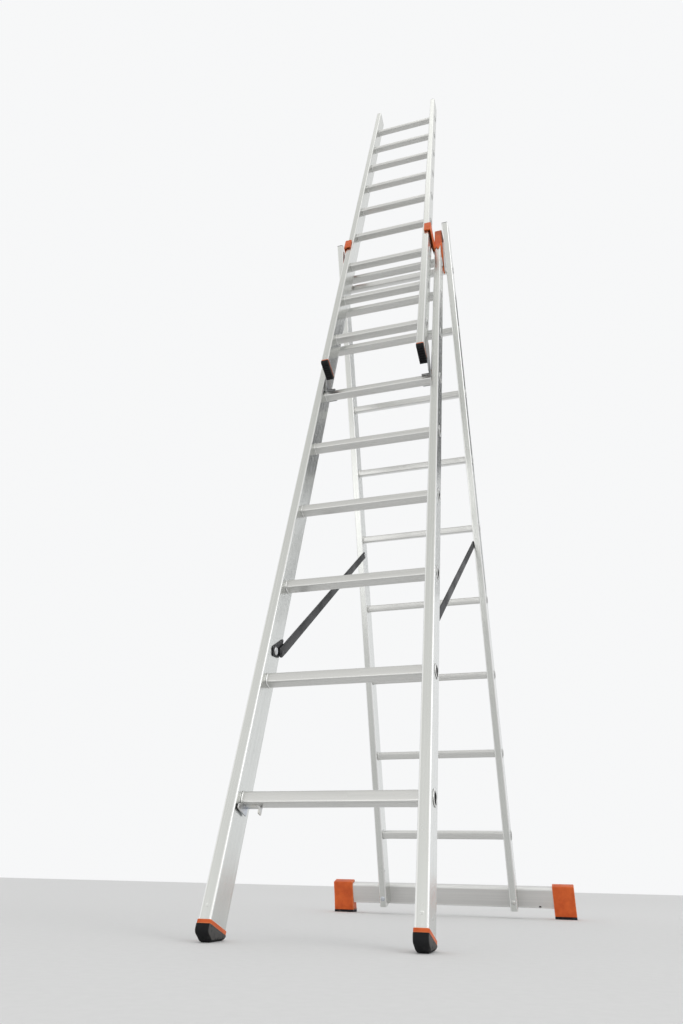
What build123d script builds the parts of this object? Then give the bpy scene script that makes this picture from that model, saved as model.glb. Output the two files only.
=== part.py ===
"""Three-section aluminium combination ladder, standing as an A-frame with its third section run up.

Frame: X along the rungs, +Y from the front section to the rear one, +Z up.
The origin lies on the floor, in the middle of the ladder's footprint. All sizes are in millimetres.
"""

import os
from math import acos, atan2, cos, degrees, hypot, radians, sin

from build123d import *

os.makedirs("parts", exist_ok=True)

# Rungs
rung_count = 9
rung_pitch = 280.0
rung_depth = 28.0
rung_height = 25.0
rung_bevel = 4.0
rung_wall = 1.6
tread_groove_count = 3
tread_groove_spacing = 6.0
tread_groove_width = 2.4
tread_groove_depth = 0.8
collar_lip = 2.5
collar_thickness = 2.6
flare_lip = 3.0
flare_thickness = 2.4

# Stiles
stile_width = 25.0
stile_depth = 73.0
stile_wall = 1.8
stile_bevel = 2.0
stile_overrun = 202.0

# Sections: the front one's outer width, the gap between nested stiles, and the lowest rung's height
# above each stile's lower end
front_width = 420.0
section_gap = 10.0
top_first_rung = 179.0
front_first_rung = 231.0
rear_first_rung = 238.0
section_step = 81.0
resting_rung = 6
resting_lift = 47.0

# Stance: the front section's lean, and the middle of each lower stile end above the floor
front_lean = 17.5
front_foot_height = 26.0
rear_foot_height = 32.0

# Hinge at the head of the A-frame
front_hinge_rise = 6.0
rear_hinge_drop = 24.0
hinge_pin_radius = 5.5
hinge_head_radius = 7.2
hinge_head_thickness = 3.5
hinge_head_clearance = 0.3
hinge_boss_wall = 8.5
leaf_seat = 0.1
leaf_gap = 0.8
running_clearance = 0.05

# Guides that carry the top section on the front stiles' heads
guide_plate = 4.0
guide_point_low = 48.0
guide_shoulder = 92.0
guide_claw_low = 52.0
guide_claw_height = 63.0
guide_arm_thickness = 5.0
guide_arm_overlap = 44.0
guide_lip_reach = 18.0
guide_lip_thickness = 8.0
guide_slide_clearance = 0.5
guide_cap_thickness = 4.0
guide_cap_bevel = 1.6
guide_leaf_back = 40.0
guide_shoulder_radius = 10.0
guide_point_radius = 3.0
guide_claw_radius = 5.0

# Feet and end plugs
foot_overhang = 1.5
front_rim_height = 7.0
front_foot_nose_radius = 20.0
front_foot_heel_radius = 4.0
front_tread_count = 4
front_tread_pitch = 11.0
top_rim_height = 4.0
top_foot_height = 12.0
top_foot_nose_radius = 7.0
top_tread_count = 6
top_tread_pitch = 9.5
tread_width = 3.6
tread_depth = 2.2
plug_length = 30.0
plug_clearance = 0.15
end_plug_flange = 2.5

# Hooks, and the catch under the lowest front rung
hook_width = 28.0
hook_thickness = 4.0
hook_leg_length = 90.0
hook_lip_drop = 22.0
hook_clearance = 0.4
hook_bend_radius = 5.0
catch_inset = 3.0
catch_width = 37.0
catch_sheet = 3.0
catch_front = -30.0
catch_back = 14.0
catch_shoulder = 7.0
catch_drop = 17.0
catch_lip_front = -4.0
catch_lip_back = 10.0

# Stabiliser across the rear section's feet
bar_length = 866.0
bar_height = 66.0
bar_depth = 30.0
bar_wall = 2.0
bar_bevel = 3.0
bar_low = -11.0
drain_across = 318.0
drain_width = 8.0
drain_height = 5.0
cap_length = 74.0
cap_end_wall = 6.0
cap_wall = 3.5
cap_rise = 6.0
cap_flare = 5.0
cap_flare_height = 40.0
cap_top_radius = 5.0
cap_bar_clearance = 0.2
sole_thickness = 8.0
sole_corner_bevel = 4.0
stabiliser_bolt_height = 28.0
stabiliser_bolt_radius = 5.0
stabiliser_bolt_head_radius = 8.0
stabiliser_bolt_head_thickness = 4.0

# Bolts and rivets: many-sided heads, holes with flats
bolt_clearance = 0.1
bolt_hole_sides = 8
bolt_head_sides = 12

# Struts between the front and rear sections
strut_width = 25.0
strut_thickness = 4.0
strut_end_overrun = 13.0
strut_tab_length = 34.0
strut_tip_bevel = 6.0
strut_seat_gap = 0.4
strut_pivot_rung = 4
strut_pivot_rise = 214.0
strut_catch_rung = 2
strut_catch_rise = 95.0
strut_side_gap = 0.5
strut_tip_gap = 1.2
pivot_bolt_radius = 5.0
pivot_bolt_head_radius = 9.0
pivot_bolt_head_thickness = 4.0
catch_rivet_radius = 4.0
catch_rivet_head_radius = 7.0
catch_rivet_head_thickness = 3.0
bracket_thickness = 2.5
bracket_reach_front = 18.0
bracket_reach_back = 35.0
bracket_rise = 60.0
bracket_drop = 20.0
bracket_bolt_back = 2.0
bracket_bolt_drop = 12.0
bracket_bolt_radius = 4.0
bracket_bolt_head_radius = 10.0
bracket_bolt_head_thickness = 3.5

# Heights along the stiles, measured from each stile's lower end
rung_run = (rung_count - 1) * rung_pitch
stile_length = rear_first_rung + rung_run + stile_overrun
front_hinge_height = front_first_rung + rung_run + front_hinge_rise
rear_hinge_height = rear_first_rung + rung_run - rear_hinge_drop
resting_rung_height = front_first_rung + (resting_rung - 1) * rung_pitch
top_start = resting_rung_height + resting_lift
strut_pivot_height = rear_first_rung + (strut_pivot_rung - 1) * rung_pitch + strut_pivot_rise
strut_catch_height = front_first_rung + (strut_catch_rung - 1) * rung_pitch + strut_catch_rise

# Half widths across the ladder
front_outer = front_width / 2
front_inner = front_outer - stile_width
top_outer = front_inner - section_gap
top_inner = top_outer - stile_width
rear_inner = front_outer + section_gap
rear_outer = rear_inner + stile_width

# Distances through the depth: the hinge pin clears the stiles' faces, and the struts clear the rungs
half_depth = stile_depth / 2
hinge_offset = half_depth + hinge_head_clearance + hinge_head_radius
hinge_boss_radius = hinge_pin_radius + hinge_boss_wall
leaf_thickness = (section_gap - leaf_gap) / 2 - leaf_seat
strut_stand_off = (rung_depth + strut_width) / 2 + strut_side_gap

# Stance: the rear section's lean follows from the hinge height and its own length
front_angle = radians(front_lean)
hinge_height = front_foot_height + front_hinge_height * cos(front_angle) - hinge_offset * sin(front_angle)
rear_reach = hypot(rear_hinge_height, hinge_offset)
rear_angle = acos((hinge_height - rear_foot_height) / rear_reach) - atan2(hinge_offset, rear_hinge_height)

# Stabiliser faces in the rear section's frame, behind the stiles
bar_front = half_depth
bar_back = half_depth + bar_depth
cap_front_foot = bar_front - cap_wall - cap_flare
cap_back_foot = bar_back + cap_wall + cap_flare
cap_top = bar_low + bar_height + cap_rise
cap_end = bar_length / 2 + cap_end_wall


def cap_foot_up(back):
    """Height along the rear stile where a line at this distance back meets the soles' top."""
    return (sole_thickness - rear_foot_height - back * sin(rear_angle)) / cos(rear_angle)


def cap_foot_reach(back):
    """Distance behind the rear stiles' lower ends, along the floor, of that same point."""
    return back * cos(rear_angle) - cap_foot_up(back) * sin(rear_angle)


def front_floor_up(back):
    """Height along the front stile where a line at this distance back meets the floor."""
    return (back * sin(front_angle) - front_foot_height) / cos(front_angle)


# The footprint's middle: from the front feet's round noses to the back of the stabiliser's soles
nose_back = front_foot_nose_radius - half_depth - foot_overhang
nose_up = (front_foot_nose_radius - front_foot_height + nose_back * sin(front_angle)) / cos(front_angle)
front_base = -front_hinge_height * sin(front_angle) - hinge_offset * cos(front_angle)
rear_base = rear_hinge_height * sin(rear_angle) + hinge_offset * cos(rear_angle)
nose_end = front_base + nose_up * sin(front_angle) + nose_back * cos(front_angle) - front_foot_nose_radius
heel_back = half_depth + foot_overhang
heel_end = front_base + heel_back * cos(front_angle) + front_floor_up(heel_back) * sin(front_angle)
front_sole_middle = (nose_end + front_foot_nose_radius + heel_end - front_foot_heel_radius) / 2
sole_end = rear_base + cap_foot_reach(cap_back_foot)
hinge_y = -(nose_end + sole_end) / 2

# Each section's frame: X along the rungs, Y to the back, Z up along the stiles from their lower ends
front = Plane(
    origin=(0, hinge_y + front_base, front_foot_height),
    x_dir=(1, 0, 0),
    z_dir=(0, sin(front_angle), cos(front_angle)),
)
rear = Plane(
    origin=(0, hinge_y + rear_base, rear_foot_height),
    x_dir=(1, 0, 0),
    z_dir=(0, -sin(rear_angle), cos(rear_angle)),
)
top = Plane(
    origin=front.from_local_coords((0, -section_step, top_start)),
    x_dir=(1, 0, 0),
    z_dir=front.z_dir,
)


def side(frame, x):
    """Plane at x with the section's back as its first direction and up along the stile as its second."""
    return Plane(origin=frame.origin + Vector(x, 0, 0), x_dir=frame.y_dir, z_dir=(1, 0, 0))


def face(frame, back):
    """Plane across the section at this distance back, with X first, up second, facing the front."""
    return Plane(origin=frame.origin + frame.y_dir * back, x_dir=(1, 0, 0), z_dir=-frame.y_dir)


def save(part, name):
    """Label a finished piece and write it as its own node."""
    part.label = name
    export_step(part, f"parts/{name}.step")


def save_pair(part, name):
    """Write a right-hand piece and its mirror image as two nodes."""
    save(mirror(part, about=Plane.YZ), f"{name}_left")
    save(part, f"{name}_right")


def save_group(part, name):
    """Write a small right-hand piece and its mirror image as one node of two solids."""
    save(Compound(children=[mirror(part, about=Plane.YZ), part]), name)


def make_bolt(plane, centre, radius, length, head_radius, head_thickness, turning=False):
    """Bolt or rivet: its head lies under the plane, its shank runs out along the plane's normal.

    A turning one has a round shank, for the piece that swings on it.
    """
    with BuildPart() as bolt:
        with BuildSketch(plane):
            with Locations(centre):
                if turning:
                    Circle(radius)
                else:
                    RegularPolygon(radius, bolt_hole_sides, major_radius=False)
        extrude(amount=length)
        with BuildSketch(plane):
            with Locations(centre):
                RegularPolygon(head_radius, bolt_head_sides)
        extrude(amount=-head_thickness)
    return bolt.part


def make_stile(frame, inner, first_rung, cross_bolts=(), inner_bolts=()):
    """Hollow extrusion on the right, pierced through both walls by every rung and by its bolts.

    cross_bolts are (height, radius) through its depth, inner_bolts (back, height, radius) in its inner wall.
    """
    with BuildPart() as stile:
        centre = inner + stile_width / 2
        with BuildSketch(frame) as section:
            with Locations((centre, 0)):
                Rectangle(stile_width, stile_depth)
            chamfer(section.vertices(), stile_bevel)
            with Locations((centre, 0)):
                Rectangle(stile_width - 2 * stile_wall, stile_depth - 2 * stile_wall, mode=Mode.SUBTRACT)
        extrude(amount=stile_length)
        with BuildSketch(side(frame, inner)):
            for rung in range(rung_count):
                with Locations((0, first_rung + rung * rung_pitch)):
                    Rectangle(rung_depth, rung_height)
        extrude(amount=stile_width, mode=Mode.SUBTRACT)
        for height, radius in cross_bolts:
            with BuildSketch(face(frame, half_depth)):
                with Locations((centre, height)):
                    RegularPolygon(radius, bolt_hole_sides, major_radius=False)
            extrude(amount=stile_depth, mode=Mode.SUBTRACT)
        for back, height, radius in inner_bolts:
            with BuildSketch(side(frame, inner)):
                with Locations((back, height)):
                    RegularPolygon(radius, bolt_hole_sides, major_radius=False)
            extrude(amount=stile_wall, mode=Mode.SUBTRACT)
    return stile.part


def make_rung(frame, inner, height):
    """Grooved hollow rung: collars against the stiles inside, flared mouths on their outer faces."""
    with BuildPart() as rung:
        with BuildSketch(side(frame, -inner)) as section:
            with Locations((0, height)):
                Rectangle(rung_depth, rung_height)
            chamfer(section.vertices(), rung_bevel)
            with Locations((0, height + rung_height / 2)):
                with GridLocations(tread_groove_spacing, 1, tread_groove_count, 1):
                    half_groove = tread_groove_width / 2
                    Polygon(
                        (-half_groove, 0),
                        (0, -tread_groove_depth),
                        (half_groove, 0),
                        align=None,
                        mode=Mode.SUBTRACT,
                    )
        extrude(amount=2 * inner)
        for hand in (-1, 1):
            with BuildSketch(side(frame, hand * inner)):
                with Locations((0, height)):
                    Rectangle(rung_depth + 2 * collar_lip, rung_height + 2 * collar_lip)
            extrude(amount=-hand * collar_thickness)
            with BuildSketch(side(frame, hand * inner)):
                with Locations((0, height)):
                    Rectangle(rung_depth, rung_height)
            extrude(amount=hand * stile_width)
            with BuildSketch(side(frame, hand * (inner + stile_width))) as flare:
                with Locations((0, height)):
                    Rectangle(rung_depth + 2 * flare_lip, rung_height + 2 * flare_lip)
                chamfer(flare.vertices(), rung_bevel + flare_lip)
            extrude(amount=hand * flare_thickness)
        with BuildSketch(side(frame, -inner - stile_width - flare_thickness)) as bore:
            with Locations((0, height)):
                Rectangle(rung_depth - 2 * rung_wall, rung_height - 2 * rung_wall)
            chamfer(bore.vertices(), rung_bevel - rung_wall / 2)
        extrude(amount=2 * (inner + stile_width + flare_thickness), mode=Mode.SUBTRACT)
    return rung.part


def write_section(name, frame, inner, first_rung, cross_bolts=(), inner_bolts=()):
    """Write one section's two stiles and all its rungs."""
    save_pair(make_stile(frame, inner, first_rung, cross_bolts, inner_bolts), f"{name}_stile")
    rung = make_rung(frame, inner, first_rung)
    for number in range(rung_count):
        save(rung.moved(Location(frame.z_dir * (number * rung_pitch))), f"{name}_rung_{number + 1}")


bracket_height = strut_catch_height - bracket_bolt_drop
write_section(
    "front",
    front,
    front_inner,
    front_first_rung,
    inner_bolts=[(bracket_bolt_back, bracket_height, bracket_bolt_radius + bolt_clearance)],
)
write_section(
    "rear",
    rear,
    rear_inner,
    rear_first_rung,
    cross_bolts=[(stabiliser_bolt_height, stabiliser_bolt_radius + bolt_clearance)],
    inner_bolts=[(-strut_stand_off, strut_pivot_height, pivot_bolt_radius + bolt_clearance)],
)
write_section("top", top, top_inner, top_first_rung)


def make_insert(frame, inner, at, flange, overhang, upwards):
    """Plastic insert in a stile's end: a flange outside and a plug that fits the stile's bore."""
    outward = -1 if upwards else 1
    with BuildPart() as insert:
        centre = inner + stile_width / 2
        with BuildSketch(frame.offset(at)):
            with Locations((centre, 0)):
                Rectangle(stile_width + 2 * overhang, stile_depth + 2 * overhang)
        extrude(amount=outward * flange)
        bore = 2 * (stile_wall + plug_clearance)
        with BuildSketch(frame.offset(at)):
            with Locations((centre, 0)):
                Rectangle(stile_width - bore, stile_depth - bore)
        extrude(amount=-outward * plug_length)
    return insert.part


save_group(make_insert(front, front_inner, 0, front_rim_height, foot_overhang, True), "front_foot_rims")
save_group(make_insert(top, top_inner, 0, top_rim_height, 0, True), "top_foot_rims")
save_group(make_insert(top, top_inner, stile_length, end_plug_flange, 0, False), "top_end_plugs")
save_group(make_insert(rear, rear_inner, stile_length, end_plug_flange, 0, False), "rear_end_plugs")

# Front rubber foot: flat on the floor, round at the nose
with BuildPart() as front_foot:
    foot_half = half_depth + foot_overhang
    with BuildSketch(side(front, front_inner - foot_overhang)) as foot_outline:
        Polygon(
            (-foot_half, -front_rim_height),
            (-foot_half, front_floor_up(-foot_half)),
            (foot_half, front_floor_up(foot_half)),
            (foot_half, -front_rim_height),
            align=None,
        )
        corners = foot_outline.vertices().sort_by(Axis.Y)
        fillet(corners[0], front_foot_nose_radius)
        fillet(foot_outline.vertices().sort_by(Axis.X)[-2:].sort_by(Axis.Y)[0], front_foot_heel_radius)
    extrude(amount=stile_width + 2 * foot_overhang)
    with BuildSketch():
        with Locations((front_inner + stile_width / 2, hinge_y + front_sole_middle)):
            with GridLocations(1, front_tread_pitch, 1, front_tread_count):
                Rectangle(stile_width + 2 * foot_overhang, tread_width)
    extrude(amount=tread_depth, mode=Mode.SUBTRACT)
save_pair(front_foot.part, "front_foot")

# Top section's rubber foot: a flat pad with a round front edge
with BuildPart() as top_foot:
    with BuildSketch(side(top, top_inner)) as pad:
        with Locations((0, -top_rim_height - top_foot_height / 2)):
            Rectangle(stile_depth, top_foot_height)
        fillet(pad.vertices().group_by(Axis.X)[0].sort_by(Axis.Y)[0], top_foot_nose_radius)
        with Locations((top_foot_nose_radius / 2, -top_rim_height - top_foot_height)):
            with GridLocations(top_tread_pitch, 1, top_tread_count, 1):
                Rectangle(tread_width, 2 * tread_depth, mode=Mode.SUBTRACT)
    extrude(amount=stile_width)
save_group(top_foot.part, "top_feet")

# Guide on a front stile's head: cap, pointed front plate, hinge leaf outside, claw round the top section
arm_out = front_inner - leaf_seat
arm_in = arm_out - guide_arm_thickness
leaf_in = front_outer + leaf_seat
leaf_out = leaf_in + leaf_thickness
plate_back = -half_depth - leaf_seat
plate_front = plate_back - guide_plate
lip_back = -section_step - half_depth - guide_slide_clearance
lip_front = lip_back - guide_lip_thickness
top_rung_height = front_first_rung + rung_run
claw_low = top_rung_height + guide_claw_low
shoulder = top_rung_height + guide_shoulder
point_low = top_rung_height + guide_point_low
cap_height = stile_length + guide_cap_thickness
with BuildPart() as guide:
    with BuildSketch(front.offset(claw_low)) as claw:
        with Locations((arm_in, lip_front)):
            arm_back = guide_arm_overlap - half_depth
            Rectangle(guide_arm_thickness, arm_back - lip_front, align=(Align.MIN, Align.MIN))
        with Locations((arm_out, lip_front)):
            lip_reach = guide_lip_reach + arm_out - top_outer
            Rectangle(lip_reach, guide_lip_thickness, align=(Align.MAX, Align.MIN))
        fillet(claw.vertices().sort_by_distance((arm_out, lip_front))[0], guide_claw_radius)
        with Locations((arm_in, plate_front)):
            Rectangle(leaf_out - arm_in, guide_plate, align=(Align.MIN, Align.MIN))
    extrude(amount=guide_claw_height)
    with BuildSketch(face(front, plate_back)) as plate:
        Polygon(
            (arm_out, cap_height),
            (arm_out, shoulder),
            ((front_inner + leaf_out) / 2, point_low),
            (leaf_out, shoulder),
            (leaf_out, cap_height),
            align=None,
        )
        plate_corners = plate.vertices().group_by(Axis.Y)
        fillet(plate_corners[1], guide_shoulder_radius)
        fillet(plate.vertices().sort_by(Axis.Y)[0], guide_point_radius)
    extrude(amount=guide_plate)
    with BuildSketch(front.offset(stile_length)):
        with Locations((arm_out, plate_front)):
            Rectangle(leaf_out - arm_out, half_depth - plate_front, align=(Align.MIN, Align.MIN))
    extrude(amount=guide_cap_thickness)
    with BuildSketch(side(front, leaf_in)) as leaf:
        Polygon(
            (plate_front, cap_height),
            (plate_front, shoulder),
            (hinge_offset - hinge_boss_radius, front_hinge_height),
            (hinge_offset, front_hinge_height),
            (guide_leaf_back, shoulder),
            (half_depth, cap_height),
            align=None,
        )
        fillet(leaf.vertices().sort_by_distance((plate_front, shoulder))[0], guide_shoulder_radius)
        with Locations((hinge_offset, front_hinge_height)):
            Circle(hinge_boss_radius)
            Circle(hinge_pin_radius + running_clearance, mode=Mode.SUBTRACT)
    extrude(amount=leaf_thickness)
    cap_face = guide.faces().sort_by(Axis(front.origin, front.z_dir))[-1]
    chamfer(cap_face.edges().sort_by(Axis(front.origin, front.y_dir))[:3], guide_cap_bevel)
save_pair(guide.part, "guide")

# Hinge plate on a rear stile's inner face
plate_out = rear_inner - leaf_seat
plate_in = plate_out - leaf_thickness
plate_rise = 2 * collar_lip + rung_height
with BuildPart() as hinge_plate:
    with BuildSketch(side(rear, plate_in)):
        Polygon(
            (-hinge_offset - hinge_boss_radius, rear_hinge_height),
            (-half_depth, cap_height - guide_shoulder),
            (half_depth - rung_depth, cap_height - guide_shoulder),
            (half_depth - rung_depth, rear_hinge_height + rear_hinge_drop + plate_rise),
            (-rung_depth, rear_hinge_height + rear_hinge_drop + plate_rise),
            (-hinge_offset + hinge_boss_radius, rear_hinge_height),
            align=None,
        )
        with Locations((-hinge_offset, rear_hinge_height)):
            Circle(hinge_boss_radius)
            Circle(hinge_pin_radius + running_clearance, mode=Mode.SUBTRACT)
    extrude(amount=leaf_thickness)
save_group(hinge_plate.part, "hinge_plates")

# Headed hinge pin through both leaves
with BuildPart() as hinge_pin:
    with BuildSketch(side(front, leaf_in)):
        with Locations((hinge_offset, front_hinge_height)):
            Circle(hinge_pin_radius)
    extrude(amount=plate_out - leaf_in)
    for start, length in ((leaf_in, -hinge_head_thickness), (plate_out, hinge_head_thickness)):
        with BuildSketch(side(front, start)):
            with Locations((hinge_offset, front_hinge_height)):
                RegularPolygon(hinge_head_radius, bolt_head_sides)
        extrude(amount=length)
save_group(hinge_pin.part, "hinge_pins")

# Hook on the top section's stile end, over the front section's resting rung
hook_side = side(front, (top_inner + top_outer - hook_width) / 2)
hook_seat = resting_rung_height + rung_height / 2 + hook_clearance
hook_leg = half_depth - section_step
hook_back = rung_depth / 2 + hook_clearance
with BuildPart() as hook:
    with BuildSketch(hook_side) as bends:
        with Locations((hook_leg, hook_seat)):
            leg_height = top_start + hook_leg_length - hook_seat
            Rectangle(hook_thickness, leg_height, align=(Align.MIN, Align.MIN))
            seat_length = hook_back + hook_thickness - hook_leg
            Rectangle(seat_length, hook_thickness, align=(Align.MIN, Align.MIN))
        with Locations((hook_back, hook_seat + hook_thickness)):
            Rectangle(hook_thickness, hook_lip_drop + hook_thickness, align=(Align.MIN, Align.MAX))
        for corner in ((hook_leg, hook_seat), (hook_back + hook_thickness, hook_seat + hook_thickness)):
            fillet(bends.vertices().sort_by_distance(corner)[0], hook_bend_radius)
    extrude(amount=hook_width)
save_group(hook.part, "top_hooks")

# Catch under the left end of the front section's lowest rung: a saddle with a long flange by the stile
catch_top = front_first_rung - rung_height / 2
catch_out = front_inner - catch_inset
catch_seat = catch_lip_back - catch_lip_front
with BuildPart() as catch:
    with BuildSketch(side(front, -catch_out)):
        Polygon(
            (-rung_depth / 2, catch_top),
            (catch_front, catch_top - catch_shoulder),
            (catch_front, catch_top - catch_drop),
            (catch_back, catch_top - catch_drop),
            (catch_back, catch_top),
            align=None,
        )
    extrude(amount=catch_sheet)
    with BuildSketch(side(front, -catch_out)):
        with Locations((catch_lip_front, catch_top)):
            Rectangle(catch_seat, catch_sheet, align=(Align.MIN, Align.MAX))
    extrude(amount=catch_width)
    with BuildSketch(side(front, catch_width - catch_out)):
        with Locations((catch_lip_front, catch_top)):
            Rectangle(catch_seat, catch_drop, align=(Align.MIN, Align.MAX))
    extrude(amount=-catch_sheet)
save(catch.part, "front_catch")

# Stabiliser: hollow bar behind the rear stiles, moulded caps and rubber soles
bar_middle = (bar_front + bar_back) / 2
with BuildPart() as bar:
    with BuildSketch(side(rear, -bar_length / 2)) as bar_section:
        with Locations((bar_middle, bar_low + bar_height / 2)):
            Rectangle(bar_depth, bar_height)
        chamfer(bar_section.vertices(), bar_bevel)
        with Locations((bar_middle, bar_low + bar_height / 2)):
            Rectangle(bar_depth - 2 * bar_wall, bar_height - 2 * bar_wall, mode=Mode.SUBTRACT)
    extrude(amount=bar_length)
    with BuildSketch(face(rear, bar_back)):
        for hand in (-1, 1):
            with Locations((hand * (rear_inner + stile_width / 2), stabiliser_bolt_height)):
                RegularPolygon(stabiliser_bolt_radius + bolt_clearance, bolt_hole_sides, major_radius=False)
    extrude(amount=bar_depth, mode=Mode.SUBTRACT)
    with BuildSketch(face(rear, bar_front)):
        with Locations((drain_across, bar_low + bar_bevel + drain_height / 2)):
            Rectangle(drain_width, drain_height)
    extrude(amount=-bar_wall, mode=Mode.SUBTRACT)
save(bar.part, "stabiliser_bar")

cap_inner = cap_end - cap_length
with BuildPart() as cap:
    with BuildSketch(side(rear, cap_inner)) as sleeve:
        cap_bend = bar_low + bar_height - cap_flare_height
        Polygon(
            (bar_front - cap_wall, cap_top),
            (bar_front - cap_wall, cap_bend),
            (cap_front_foot, cap_foot_up(cap_front_foot)),
            (cap_back_foot, cap_foot_up(cap_back_foot)),
            (bar_back + cap_wall, cap_bend),
            (bar_back + cap_wall, cap_top),
            align=None,
        )
        fillet(sleeve.vertices().group_by(Axis.Y)[-1], cap_top_radius)
    extrude(amount=cap_length)
    with BuildSketch(side(rear, cap_inner)):
        with Locations((bar_middle, bar_low + bar_height / 2)):
            Rectangle(bar_depth + 2 * cap_bar_clearance, bar_height + 2 * cap_bar_clearance)
    extrude(amount=cap_length - cap_end_wall, mode=Mode.SUBTRACT)
save_pair(cap.part, "stabiliser_cap")

sole_front = rear.origin.Y + cap_foot_reach(cap_front_foot)
sole_back = rear.origin.Y + cap_foot_reach(cap_back_foot)
with BuildPart() as sole:
    with BuildSketch() as sole_outline:
        with Locations((cap_inner, sole_front)):
            Rectangle(cap_length, sole_back - sole_front, align=(Align.MIN, Align.MIN))
        chamfer(sole_outline.vertices(), sole_corner_bevel)
    extrude(amount=sole_thickness)
save_group(sole.part, "stabiliser_soles")

save_group(
    make_bolt(
        Plane(origin=face(rear, -half_depth).origin, x_dir=(-1, 0, 0), z_dir=rear.y_dir),
        (-rear_inner - stile_width / 2, stabiliser_bolt_height),
        stabiliser_bolt_radius,
        stile_depth + bar_depth,
        stabiliser_bolt_head_radius,
        stabiliser_bolt_head_thickness,
    ),
    "stabiliser_bolts",
)

# Strut: a flat bar from its pivot on the rear stile to its catch on the front stile's bracket
pivot = rear.from_local_coords((0, -strut_stand_off, strut_pivot_height))
catch = front.from_local_coords((0, strut_stand_off, strut_catch_height))
strut_length = (catch - pivot).length
strut_along = (catch - pivot).normalized()
strut_pivot_x = rear_inner - strut_seat_gap - strut_thickness
strut_catch_x = front_inner - leaf_seat - bracket_thickness - strut_seat_gap - strut_thickness
strut_plane = Plane(origin=pivot, x_dir=strut_along, z_dir=strut_along.cross(Vector(1, 0, 0)))
strut_side = Plane(origin=pivot, x_dir=strut_along, z_dir=(1, 0, 0))
with BuildPart() as strut:
    with BuildSketch(strut_plane):
        with BuildLine():
            near = [
                (-strut_end_overrun, strut_pivot_x),
                (strut_tab_length, strut_pivot_x),
                (strut_length - strut_tab_length, strut_catch_x),
                (strut_length + strut_end_overrun, strut_catch_x),
            ]
            far = [(along, x + strut_thickness) for along, x in reversed(near)]
            Polyline(*near, *far, close=True)
        make_face()
    extrude(amount=strut_width / 2, both=True)
    pivot_tip = pivot - strut_along * strut_end_overrun + Vector(strut_pivot_x, 0, 0)
    chamfer(strut.edges().filter_by(Axis.X).sort_by_distance(pivot_tip)[:2], strut_tip_bevel)
    with BuildSketch(strut_side):
        Circle(pivot_bolt_radius + running_clearance)
        with Locations((strut_length, 0)):
            RegularPolygon(catch_rivet_radius + bolt_clearance, bolt_hole_sides, major_radius=False)
    extrude(amount=rear_outer, mode=Mode.SUBTRACT)
    with BuildSketch(side(front, 0)):
        with Locations((rung_depth / 2 + strut_tip_gap, strut_catch_height)):
            Rectangle(strut_length, strut_length, align=(Align.MAX, Align.CENTER))
    extrude(amount=front_outer, mode=Mode.SUBTRACT)
save_pair(strut.part, "strut")

# Bolt that holds a strut on the rear stile, its shank through the stile's inner wall
save_group(
    make_bolt(
        side(rear, strut_pivot_x - strut_seat_gap),
        (-strut_stand_off, strut_pivot_height),
        pivot_bolt_radius,
        rear_inner + stile_wall - strut_pivot_x + strut_seat_gap,
        pivot_bolt_head_radius,
        pivot_bolt_head_thickness,
        turning=True,
    ),
    "strut_pivot_bolts",
)

# Rivet in a strut's front end
save_pair(
    make_bolt(
        Plane(origin=catch + Vector(strut_catch_x, 0, 0), x_dir=strut_along, z_dir=(1, 0, 0)),
        (0, 0),
        catch_rivet_radius,
        strut_thickness,
        catch_rivet_head_radius,
        catch_rivet_head_thickness,
    ),
    "strut_rivet",
)

# Bracket plate on a front stile's inner face, held by one bolt
bracket_in = front_inner - leaf_seat - bracket_thickness
with BuildPart() as bracket:
    with BuildSketch(side(front, bracket_in)):
        Polygon(
            (-bracket_reach_front, bracket_height),
            (-bracket_reach_front / 2, bracket_height - bracket_drop),
            (bracket_reach_back * 0.6, bracket_height - bracket_drop / 3),
            (bracket_reach_back, strut_catch_height + strut_width / 2),
            (bracket_reach_back, bracket_height + bracket_rise),
            align=None,
        )
        with Locations((bracket_bolt_back, bracket_height)):
            bracket_hole = bracket_bolt_radius + bolt_clearance
            RegularPolygon(bracket_hole, bolt_hole_sides, major_radius=False, mode=Mode.SUBTRACT)
    extrude(amount=bracket_thickness)
save_group(bracket.part, "strut_brackets")

save_group(
    make_bolt(
        side(front, bracket_in),
        (bracket_bolt_back, bracket_height),
        bracket_bolt_radius,
        front_inner + stile_wall - bracket_in,
        bracket_bolt_head_radius,
        bracket_bolt_head_thickness,
    ),
    "bracket_bolts",
)

# Joint data in metres and degrees
hinge = front.from_local_coords((0, hinge_offset, front_hinge_height))
print("hinge", hinge / 1000, "opening", front_lean + degrees(rear_angle), "rear lean", degrees(rear_angle))
print("slide axis", front.z_dir, "pitch", rung_pitch)
print("strut pivot", (pivot + Vector(strut_pivot_x + strut_thickness / 2, 0, 0)) / 1000, "length", strut_length)
print("strut turn", strut_along.get_angle(-rear.z_dir), "soles", sole_front, sole_back, cap_inner, cap_end)
print("front origin", front.origin, "rear origin", rear.origin, "top origin", top.origin)
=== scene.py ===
"""Looks of a three-section aluminium combination ladder, standing open with its top section run up.

Sizes are in millimetres in a section's own directions: x across the rungs, back through the depth of
the stiles, up along them. Every mesh is placed in metres in the shared frame.
"""

import logging
import math
from dataclasses import dataclass, field
from enum import Enum

import bpy
import numpy as np
from mathutils import Matrix


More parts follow.
